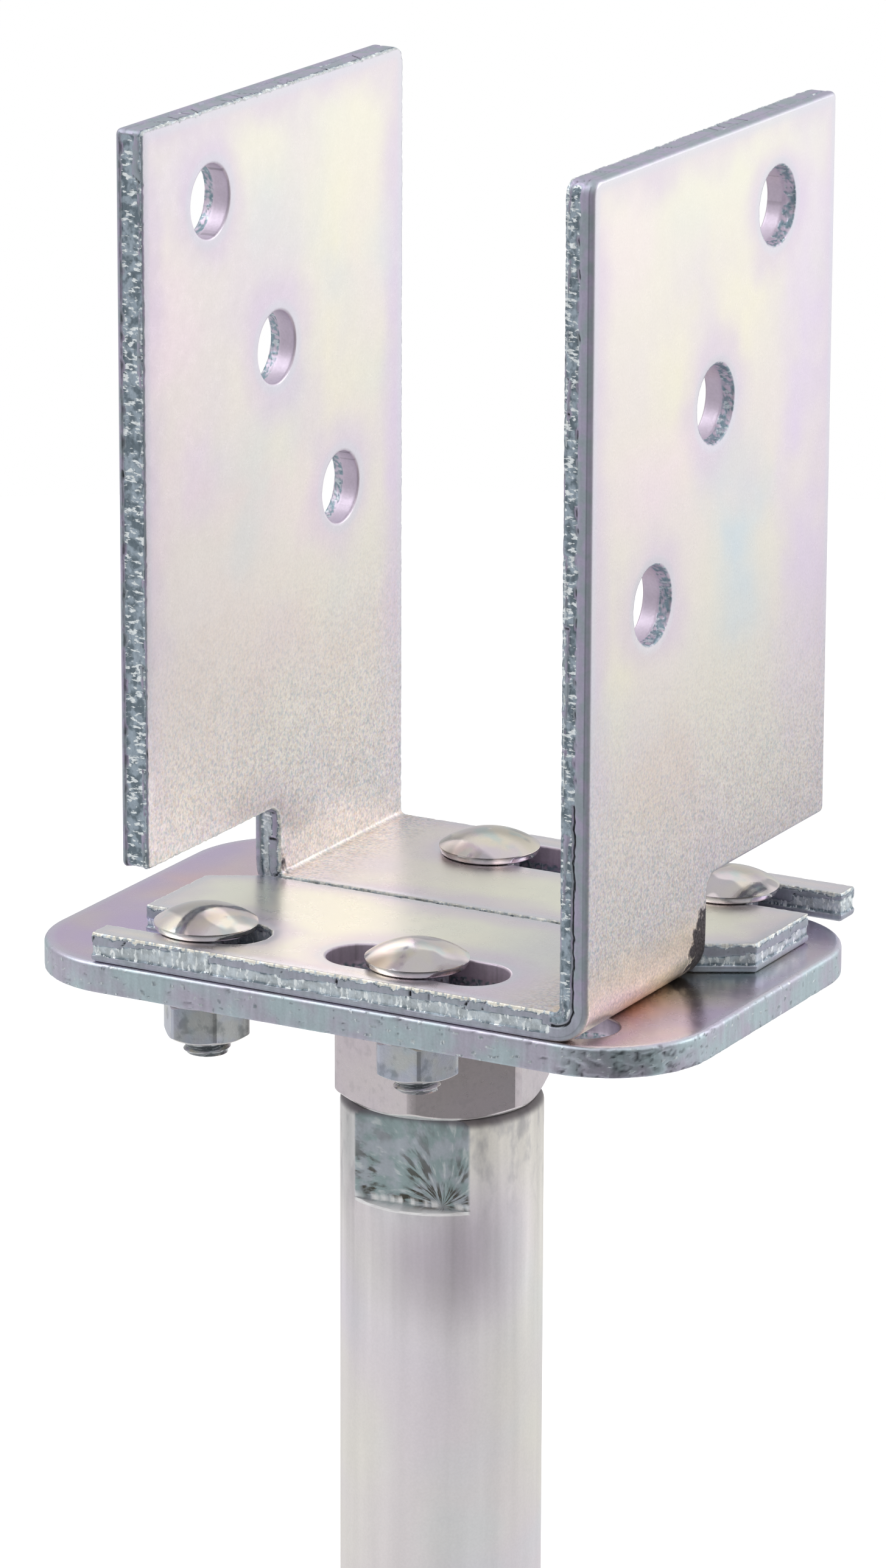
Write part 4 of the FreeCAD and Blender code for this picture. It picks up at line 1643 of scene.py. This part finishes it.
@dataclass
class HexagonNut:
    """A hexagon nut with both faces turned to a chamfer."""

    node: str
    body: str
    slot: str
    across: float
    bore: float
    corner_angle: float
    chamfer_start: float
    corner_softness: float
    chamfer_degrees: float = 30.0
    lead_share: float = 0.06
    bevel_share: float = 0.012
    side_steps: int = 6
    points: int = 144

    def build(self, finish: bpy.types.Material) -> bpy.types.Object:
        """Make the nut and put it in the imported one's place."""
        low, high = box_mm(self.node)
        height = high.z - low.z
        middle = self.axis()
        corner = math.radians(self.corner_angle)
        rings = Rings(self.points, corner)
        wall = hexagon_radius(rings.angles, self.across, corner, self.corner_softness)
        start = self.across / 2 * self.chamfer_start
        drop = np.maximum(wall - start, 0) * math.tan(math.radians(self.chamfer_degrees))
        lead = self.lead_share * self.bore
        bevel = self.bevel_share * self.across
        upper = height - drop - bevel
        lower = drop + bevel
        # chamfer marks carry the painted highlight on the chamfers
        rings.add(self.bore / 2 + lead, height, chamfer=0.4)
        rings.add(start - bevel, height, chamfer=0.2)
        rings.add(start, height - 0.3 * bevel, chamfer=1.0)
        rings.add(wall - bevel * 0.5, height - drop - 0.2 * bevel, chamfer=1.0)
        rings.add(wall, upper, side=1.0)
        for step in range(1, self.side_steps):
            rings.add(wall, upper + (lower - upper) * step / self.side_steps, side=1.0)
        rings.add(wall, lower, side=1.0)
        rings.add(wall - bevel * 0.5, drop + 0.2 * bevel, chamfer=1.0)
        rings.add(start, 0.3 * bevel, chamfer=1.0)
        rings.add(start - bevel, 0.0, chamfer=0.2)
        rings.add(self.bore / 2 + lead, 0.0, chamfer=0.4)
        # root marks carry painted shade into the bore
        rings.add(self.bore / 2, lead, root=0.5)
        rings.add(self.bore / 2, height - lead, root=0.5)
        piece = rings.build(f"{self.node}_steel", Vector((middle.x, middle.y, low.z)), True)
        made = piece.build(finish, 22)
        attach(made, self.body)
        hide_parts(self.node)
        return made

    def axis(self) -> Vector:
        """Return a point on the nut's axis: that of its bolt, or the part's own."""
        if self.body == "head":
            return centre_mm(self.node.replace("_nut", "_washer"))
        return Vector((0, 0, 0))


@dataclass
class GroundTube:
    """The drawn tube that goes into the ground, with two milled wrench flats at its top."""

    node: str = "ground_tube"
    width: float = 33.7
    thread_bore: float = 22.1
    thread_depth: float = 45.0
    lower_bore: float = 24.0
    rim_radius: float = 1.3
    flats_across: float = 27.0
    flats_length: float = 15.4
    flats_angle: float = -82.0
    end_bevel: float = 0.8
    sill: float = 0.7
    rim_steps: int = 7
    flat_steps: int = 12
    wall_steps: int = 40
    points: int = 240

    def build(self, finish: bpy.types.Material) -> bpy.types.Object:
        """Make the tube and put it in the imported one's place."""
        low, high = box_mm(self.node)
        top = high.z
        outer = self.width / 2
        shelf = top - self.flats_length
        rings = Rings(self.points)
        turn = np.mod(rings.angles - math.radians(self.flats_angle) + math.pi / 2, math.pi) - math.pi / 2
        plane = self.flats_across / 2 / np.cos(turn)
        on_flat = (plane < outer).astype(float)
        rings.add(self.thread_bore / 2 + self.end_bevel, top)
        for step in range(self.rim_steps + 1):
            lean = step / self.rim_steps * math.pi / 2
            height = top - self.rim_radius * (1 - math.cos(lean))
            radius = outer - self.rim_radius * (1 - math.sin(lean))
            rings.add(np.minimum(radius, plane), height, flat=on_flat * (plane < radius))
        for step in range(1, self.flat_steps):
            share = step / self.flat_steps
            height = top - self.rim_radius + (shelf + 0.1 - top + self.rim_radius) * share
            rings.add(np.minimum(outer, plane), height, flat=on_flat)
        ragged = np.array([grit(9 * angle, 0.0, 4.0) for angle in rings.angles])
        chips = np.array([smooth_step(grit(11 * angle, 2.0, 6.0), -0.1, 0.15) for angle in rings.angles])
        depth = np.maximum(outer - plane, 0) / (outer - self.flats_across / 2)
        inner = shelf + 0.1 + 0.25 * ragged * depth
        # the lip marks place the painted highlight: flecks along the flats' lower edge and a bright line on
        # the wall below
        rings.add(np.minimum(outer, plane), inner + 0.35, flat=on_flat, lip=on_flat * chips)
        rings.add(np.minimum(outer, plane), inner, flat=on_flat * 0.8, lip=on_flat * chips)
        rings.add(np.minimum(outer, plane + 0.5 + 0.3 * ragged), shelf - 0.15 * depth, flat=on_flat * 0.8)
        edge = outer - 0.25 * on_flat * (1 + ragged)
        rings.add(edge, shelf - 0.1 - 0.2 * depth, flat=on_flat * 0.5, lip=on_flat)
        rings.add(outer, shelf - 0.5, lip=on_flat * 0.9)
        start = shelf - self.sill
        end = low.z + self.end_bevel
        rings.add(outer, start)
        for step in range(1, self.wall_steps):
            rings.add(outer, start + (end - start) * step / self.wall_steps)
        rings.add(outer, end)
        rings.add(outer - self.end_bevel, low.z)
        rings.add(self.lower_bore / 2, low.z)
        rings.add(self.lower_bore / 2, top - self.thread_depth)
        rings.add(self.thread_bore / 2, top - self.thread_depth)
        rings.add(self.thread_bore / 2, top - self.end_bevel)
        made = rings.build("ground_tube_steel", Vector((0, 0, 0)), True).build(finish, 32)
        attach(made, "tube")
        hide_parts(self.node)
        return made


@dataclass
class Spindle:
    """The screwed spindle under the plate."""

    node: str = "spindle"
    width: float = 22.0
    end_width: float = 20.0
    plate: float = 5.0
    point: float = 2.0
    thread: Thread = Thread.M22
    neck: float = 0.5
    run_in: float = 0.3
    turn_steps: int = 10
    points: int = 72

    def build(self, finish: bpy.types.Material) -> bpy.types.Object:
        """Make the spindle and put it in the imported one's place."""
        low, high = box_mm(self.node)
        rings = Rings(self.points)
        shoulder = high.z - self.plate
        rings.add(self.end_width / 2, high.z)
        rings.add(self.end_width / 2, shoulder)
        rings.add(self.width / 2, shoulder)
        rings.add(self.width / 2, shoulder - self.neck)
        top = shoulder - self.neck - self.run_in
        count = int((top - low.z) / THREAD_PITCH[self.thread] * self.turn_steps)
        for step in range(count + 1):
            height = top + (low.z - top) * step / count
            fade = smooth_step(step, 0, 12)
            crest = self.width / 2 - self.point * (1 - smooth_step(height - low.z, 0, self.point))
            radius, root = thread_radius(rings.angles, height, crest, self.thread, fade)
            # root marks carry painted shade into the thread's grooves
            rings.add(radius, height, side=0.5, root=0.8 * root)
        made = rings.build("spindle_steel", Vector((0, 0, 0)), False).build(finish, 38)
        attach(made, "head")
        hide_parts(self.node)
        return made


@dataclass
class WeldBead:
    """The rippled weld bead round the spindle, under the plate."""

    node: str = "spindle_weld"
    inner: float = 11.05
    foot: float = 13.05
    ripples: int = 34
    ripple_depth: float = 0.16
    swell: float = 1.3
    steps: int = 10
    points: int = 204

    def build(self, finish: bpy.types.Material) -> bpy.types.Object:
        """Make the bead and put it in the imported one's place."""
        low, high = box_mm(self.node)
        outer = (high.x - low.x) / 2
        height = high.z - low.z
        rings = Rings(self.points)
        wave = np.abs(np.sin(rings.angles * self.ripples / 2))
        ripple = self.ripple_depth * wave
        rings.add(self.inner, height)
        rings.add(outer - 0.3 - ripple, height)
        for step in range(1, self.steps):
            share = step / self.steps
            radius = outer - (outer - self.foot) * share**self.swell
            # root marks carry painted shade into the ripples' troughs
            rings.add(radius - ripple, height * (1 - share), root=0.25 * wave)
        rings.add(self.foot - 0.2 - ripple, 0.0)
        rings.add(self.inner, 0.0)
        made = rings.build("spindle_weld_steel", Vector((0, 0, low.z)), True).build(finish, 50)
        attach(made, "weld_ring")
        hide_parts(self.node)
        return made


@dataclass(frozen=True)
class SoftLamp:
    """A square soft lamp: its place and width in metres, and its power in watts."""

    name: str
    place: tuple[float, float, float]
    width: float
    watts: float


@dataclass
class Studio:
    """The floor, the lights and the camera."""

    eye: tuple[float, float, float] = (554.74, -1009.84, 591.51)
    yaw: float = 28.783
    pitch: float = -16.386
    roll: float = 0.191
    focal_pixels: float = 12099.6
    picture: tuple[int, int] = (1455, 2576)
    sensor: float = 36.0
    floor_front: float = 0.3
    floor_reach: float = 1.2
    floor_sides: int = 48
    floor_tone: float = 0.66
    floor_glow: float = 0.5
    floor_gleam: float = 0.1
    dark_heading: float = -50.0
    dark_spread: tuple[float, float] = (0.3, 0.85)
    dark_depth: float = 0.76
    bright_heading: float = 52.0
    bright_spread: tuple[float, float] = (0.5, 0.88)
    bright_lift: float = 0.4
    side_level: float = 0.64
    overhead_spread: tuple[float, float] = (0.45, 0.75)
    overhead_level: float = 1.02
    soft_light: float = 0.85
    aim: tuple[float, float, float] = (0.0, 0.0, 0.25)
    lamps: tuple[SoftLamp, ...] = (
        SoftLamp("key", (-0.75, -0.35, 1.15), 0.8, 4.0),
        SoftLamp("rim", (0.9, 0.8, 0.9), 0.7, 3.0),
    )

    def camera(self) -> None:
        """Stand the camera where the photograph was taken from."""
        yaw, pitch, roll = (math.radians(angle) for angle in (self.yaw, self.pitch, self.roll))
        ahead = Vector((-math.sin(yaw) * math.cos(pitch), math.cos(yaw) * math.cos(pitch), math.sin(pitch)))
        right = ahead.cross(Vector((0, 0, 1))).normalized()
        over = right.cross(ahead)
        level = Matrix((right, over, -ahead)).transposed()
        axes = (level @ Matrix.Rotation(roll, 3, "Z")).to_4x4()
        lens = bpy.data.cameras.new("camera")
        lens.sensor_fit = "VERTICAL"
        lens.sensor_height = self.sensor
        lens.lens = self.focal_pixels / self.picture[1] * self.sensor
        lens.clip_start = 0.05
        made = bpy.data.objects.new("camera", lens)
        made.matrix_world = Matrix.Translation(Vector(self.eye) * MM) @ axes
        bpy.context.scene.collection.objects.link(made)
        bpy.context.scene.camera = made

    def floor(self) -> None:
        """Lay the pale floor: round behind the part, and cut off short in front of it."""
        front = math.radians(self.dark_heading)
        ahead = Vector((math.cos(front), math.sin(front), 0)) * self.floor_front
        corners = []
        for step in range(self.floor_sides + 1):
            angle = front + math.pi / 2 + math.pi * step / self.floor_sides
            corners.append(Vector((math.cos(angle), math.sin(angle), 0)) * self.floor_reach)
        corners.append(corners[-1] + ahead)
        corners.append(corners[0] + ahead)
        mesh = bpy.data.meshes.new("floor")
        mesh.from_pydata(corners, [], [tuple(range(len(corners)))])
        made = bpy.data.objects.new("floor", mesh)
        material = bpy.data.materials.new("floor")
        material.use_nodes = True
        graph = Graph(material.node_tree)
        tone = (self.floor_tone, self.floor_tone, self.floor_tone, 1.0)
        paper = graph.node("ShaderNodeBsdfDiffuse", None, {"Color": tone})
        direct = graph.maths("MAXIMUM", self.ray(graph, "Camera"), self.ray(graph, "Transmission"))
        strength = direct * self.floor_glow + self.ray(graph, "Glossy") * self.floor_gleam
        glow = graph.node("ShaderNodeEmission", None, {"Strength": strength})
        both = graph.node("ShaderNodeAddShader", None, {0: paper, 1: glow})
        graph.node("ShaderNodeOutputMaterial", None, {"Surface": both})
        mesh.materials.append(material)
        bpy.context.scene.collection.objects.link(made)

    def ray(self, graph: Graph, kind: str) -> Value:
        """Return 1 for rays of this kind and 0 for the rest."""
        return graph.node("ShaderNodeLightPath", None, None, f"Is {kind} Ray")

    def room(self) -> None:
        """Light the room: brightest to the right behind the part and overhead, darkest in front."""
        world = bpy.data.worlds.new("room")
        world.use_nodes = True
        bpy.context.scene.world = world
        graph = Graph(world.node_tree)
        heading = graph.node("ShaderNodeTexCoord", None, None, "Generated")
        height = graph.node("ShaderNodeSeparateXYZ", None, {0: heading}, "Z")
        dark = self.facing(graph, heading, self.dark_heading).rise(*self.dark_spread)
        bright = self.facing(graph, heading, self.bright_heading).rise(*self.bright_spread)
        sides = (self.side_level + bright * self.bright_lift) * (1 - dark * self.dark_depth)
        overhead = height.rise(*self.overhead_spread)
        backdrop = sides + (self.overhead_level - sides) * overhead
        plain = graph.maths("MAXIMUM", self.ray(graph, "Camera"), self.ray(graph, "Transmission"))
        glossy = self.ray(graph, "Glossy")
        strength = plain + glossy * backdrop + (1 - plain) * (1 - glossy) * self.soft_light
        light = graph.node("ShaderNodeBackground", None, {"Color": (1, 1, 1, 1), "Strength": strength})
        graph.node("ShaderNodeOutputWorld", None, {"Surface": light})

    def facing(self, graph: Graph, heading: Value, degrees: float) -> Value:
        """Return how nearly a direction points along a heading, from 1 down to -1."""
        angle = math.radians(degrees)
        return graph.vector("DOT_PRODUCT", heading, (math.cos(angle), math.sin(angle), 0.0), "Value")

    def hang(self, lamp: SoftLamp) -> None:
        """Hang a lamp so that it looks at the part's middle."""
        light = bpy.data.lights.new(lamp.name, "AREA")
        light.size = lamp.width
        light.energy = lamp.watts
        made = bpy.data.objects.new(lamp.name, light)
        made.location = lamp.place
        towards = Vector(self.aim) - made.location
        made.rotation_euler = towards.to_track_quat("-Z", "Y").to_euler()
        bpy.context.scene.collection.objects.link(made)

    def build(self) -> None:
        """Set up the whole studio."""
        self.floor()
        self.room()
        for lamp in self.lamps:
            self.hang(lamp)
        self.camera()
        bpy.context.scene.view_settings.view_transform = "Standard"


CHEEK_FINISH = SheetPlating("cheek_plating", roughness=0.29, shade=1.03, rose_share=0.6)
PLATE_FINISH = SheetPlating(
    "plate_plating",
    leg_painted_light_share=0.0,
    cream=(220, 212, 198),
    rose=(220, 200, 210),
    lilac=(204, 190, 220),
    aqua=(192, 206, 210),
    edge_lilac=(206, 188, 220),
    tan_cloud=(242, 206, 164),
    rose_cloud=(228, 196, 198),
    lilac_cloud=(206, 188, 222),
    aqua_cloud=(188, 206, 208),
    cut_smooth=(184, 200, 206),
    cut_rolled=(188, 185, 200),
    cut_lower_share=0.0,
    cut_middle=(196, 204, 208),
    cut_deep=(132, 142, 150),
    cut_metallic=0.85,
    cut_patch=7.0,
    cut_streak=0.36,
    patch=34.0,
    lilac_share=0.9,
    roughness=0.26,
    seed=3.0,
)
BOLT_FINISH = TurnedPlating(
    "bolt_plating",
    cream=(240, 232, 216),
    aqua=(206, 224, 222),
    patch=8.0,
    roughness=0.12,
    grain=0.3,
    grain_contrast=0.06,
    aqua_share=0.7,
    painted_reflection_share=0.6,
    shade=0.94,
    seed=12.0,
)
NUT_FINISH = TurnedPlating(
    "nut_plating",
    cream=(222, 208, 178),
    rose=(212, 198, 214),
    lilac=(194, 188, 216),
    aqua=(184, 206, 210),
    flank=(182, 196, 210),
    # painted highlight on the chamfers
    chamfer=(240, 240, 236),
    flank_share=0.65,
    flat_mottle=0.4,
    stain_patch=3.0,
    patch=6.0,
    roughness=0.26,
    grain=0.35,
    shade=0.94,
    seed=6.0,
)
LOCK_NUT_FINISH = TurnedPlating(
    "lock_nut_plating",
    flank=(202, 193, 199),
    # painted highlight on the chamfers
    chamfer=(250, 248, 248),
    patch=20.0,
    roughness=0.3,
    shade=1.02,
    flat_mottle=0.1,
    seed=7.0,
)
SPINDLE_FINISH = TurnedPlating("spindle_plating", patch=14.0, roughness=0.32, shade=0.85, seed=8.0)
WELD_FINISH = TurnedPlating("weld_plating", patch=6.0, roughness=0.42, shade=0.7, seed=9.0)
TUBE_FINISH = TubePlating(
    "tube_plating",
    cream=(230, 227, 219),
    rose=(226, 219, 224),
    lilac=(217, 213, 226),
    aqua=(215, 223, 226),
    patch=46.0,
    roughness=0.5,
    metallic=0.2,
    shade=0.98,
    lilac_share=0.3,
    seed=10.0,
)


def dress_cheeks() -> list[bpy.types.Object]:
    """Make both folded cheeks. The right one is sooty and has more painted shade and a brighter painted
    highlight at its fold.
    """
    finish = CHEEK_FINISH.material()
    left = FoldedCheek("left_cheek", True, 100, LEFT_CLOUDS, sooty=0.45, gloom=0.01, gilt=0.25)
    right = FoldedCheek("right_cheek", False, 200, RIGHT_CLOUDS, sooty=1.35, gloom=0.26, gilt=1.0)
    return [left.build(finish), right.build(finish)]


def dress_stem() -> list[bpy.types.Object]:
    """Make the plate and everything on the part's own axis."""
    lock_nut = HexagonNut(
        node="lock_nut",
        body="lock_nut",
        slot="lock_nut_steel",
        across=32.0,
        bore=22.1,
        corner_angle=-77.4,
        chamfer_start=0.985,
        corner_softness=0.35,
    )
    return [
        BasePlate().build(PLATE_FINISH.material()),
        GroundTube().build(TUBE_FINISH.material()),
        Spindle().build(SPINDLE_FINISH.material()),
        WeldBead().build(WELD_FINISH.material()),
        lock_nut.build(LOCK_NUT_FINISH.material()),
    ]


def dress_fittings() -> list[bpy.types.Object]:
    """Make the four bolts with their washers and nuts."""
    bolt_finish = BOLT_FINISH.material()
    nut_finish = NUT_FINISH.material()
    pieces = []
    for fitting in FITTINGS:
        nut = HexagonNut(
            node=f"{fitting.place}_nut",
            body="head",
            slot="nut_steel",
            across=13.0,
            bore=7.3,
            corner_angle=fitting.nut_angle,
            chamfer_start=0.97,
            corner_softness=0.2,
        )
        pieces.append(CarriageBolt(fitting.place, fitting.dull).build(bolt_finish))
        pieces.append(PlainWasher(fitting.place).build(nut_finish))
        pieces.append(nut.build(nut_finish))
    return pieces


def main() -> None:
    """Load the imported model, dress every piece and set up the studio."""
    logging.basicConfig(level=logging.INFO, format="%(name)s: %(message)s")
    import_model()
    for piece in dress_cheeks() + dress_stem() + dress_fittings():
        LOG.info("%s has %d faces", piece.name, len(piece.data.polygons))
    Studio().build()


if __name__ == "__main__":
    main()
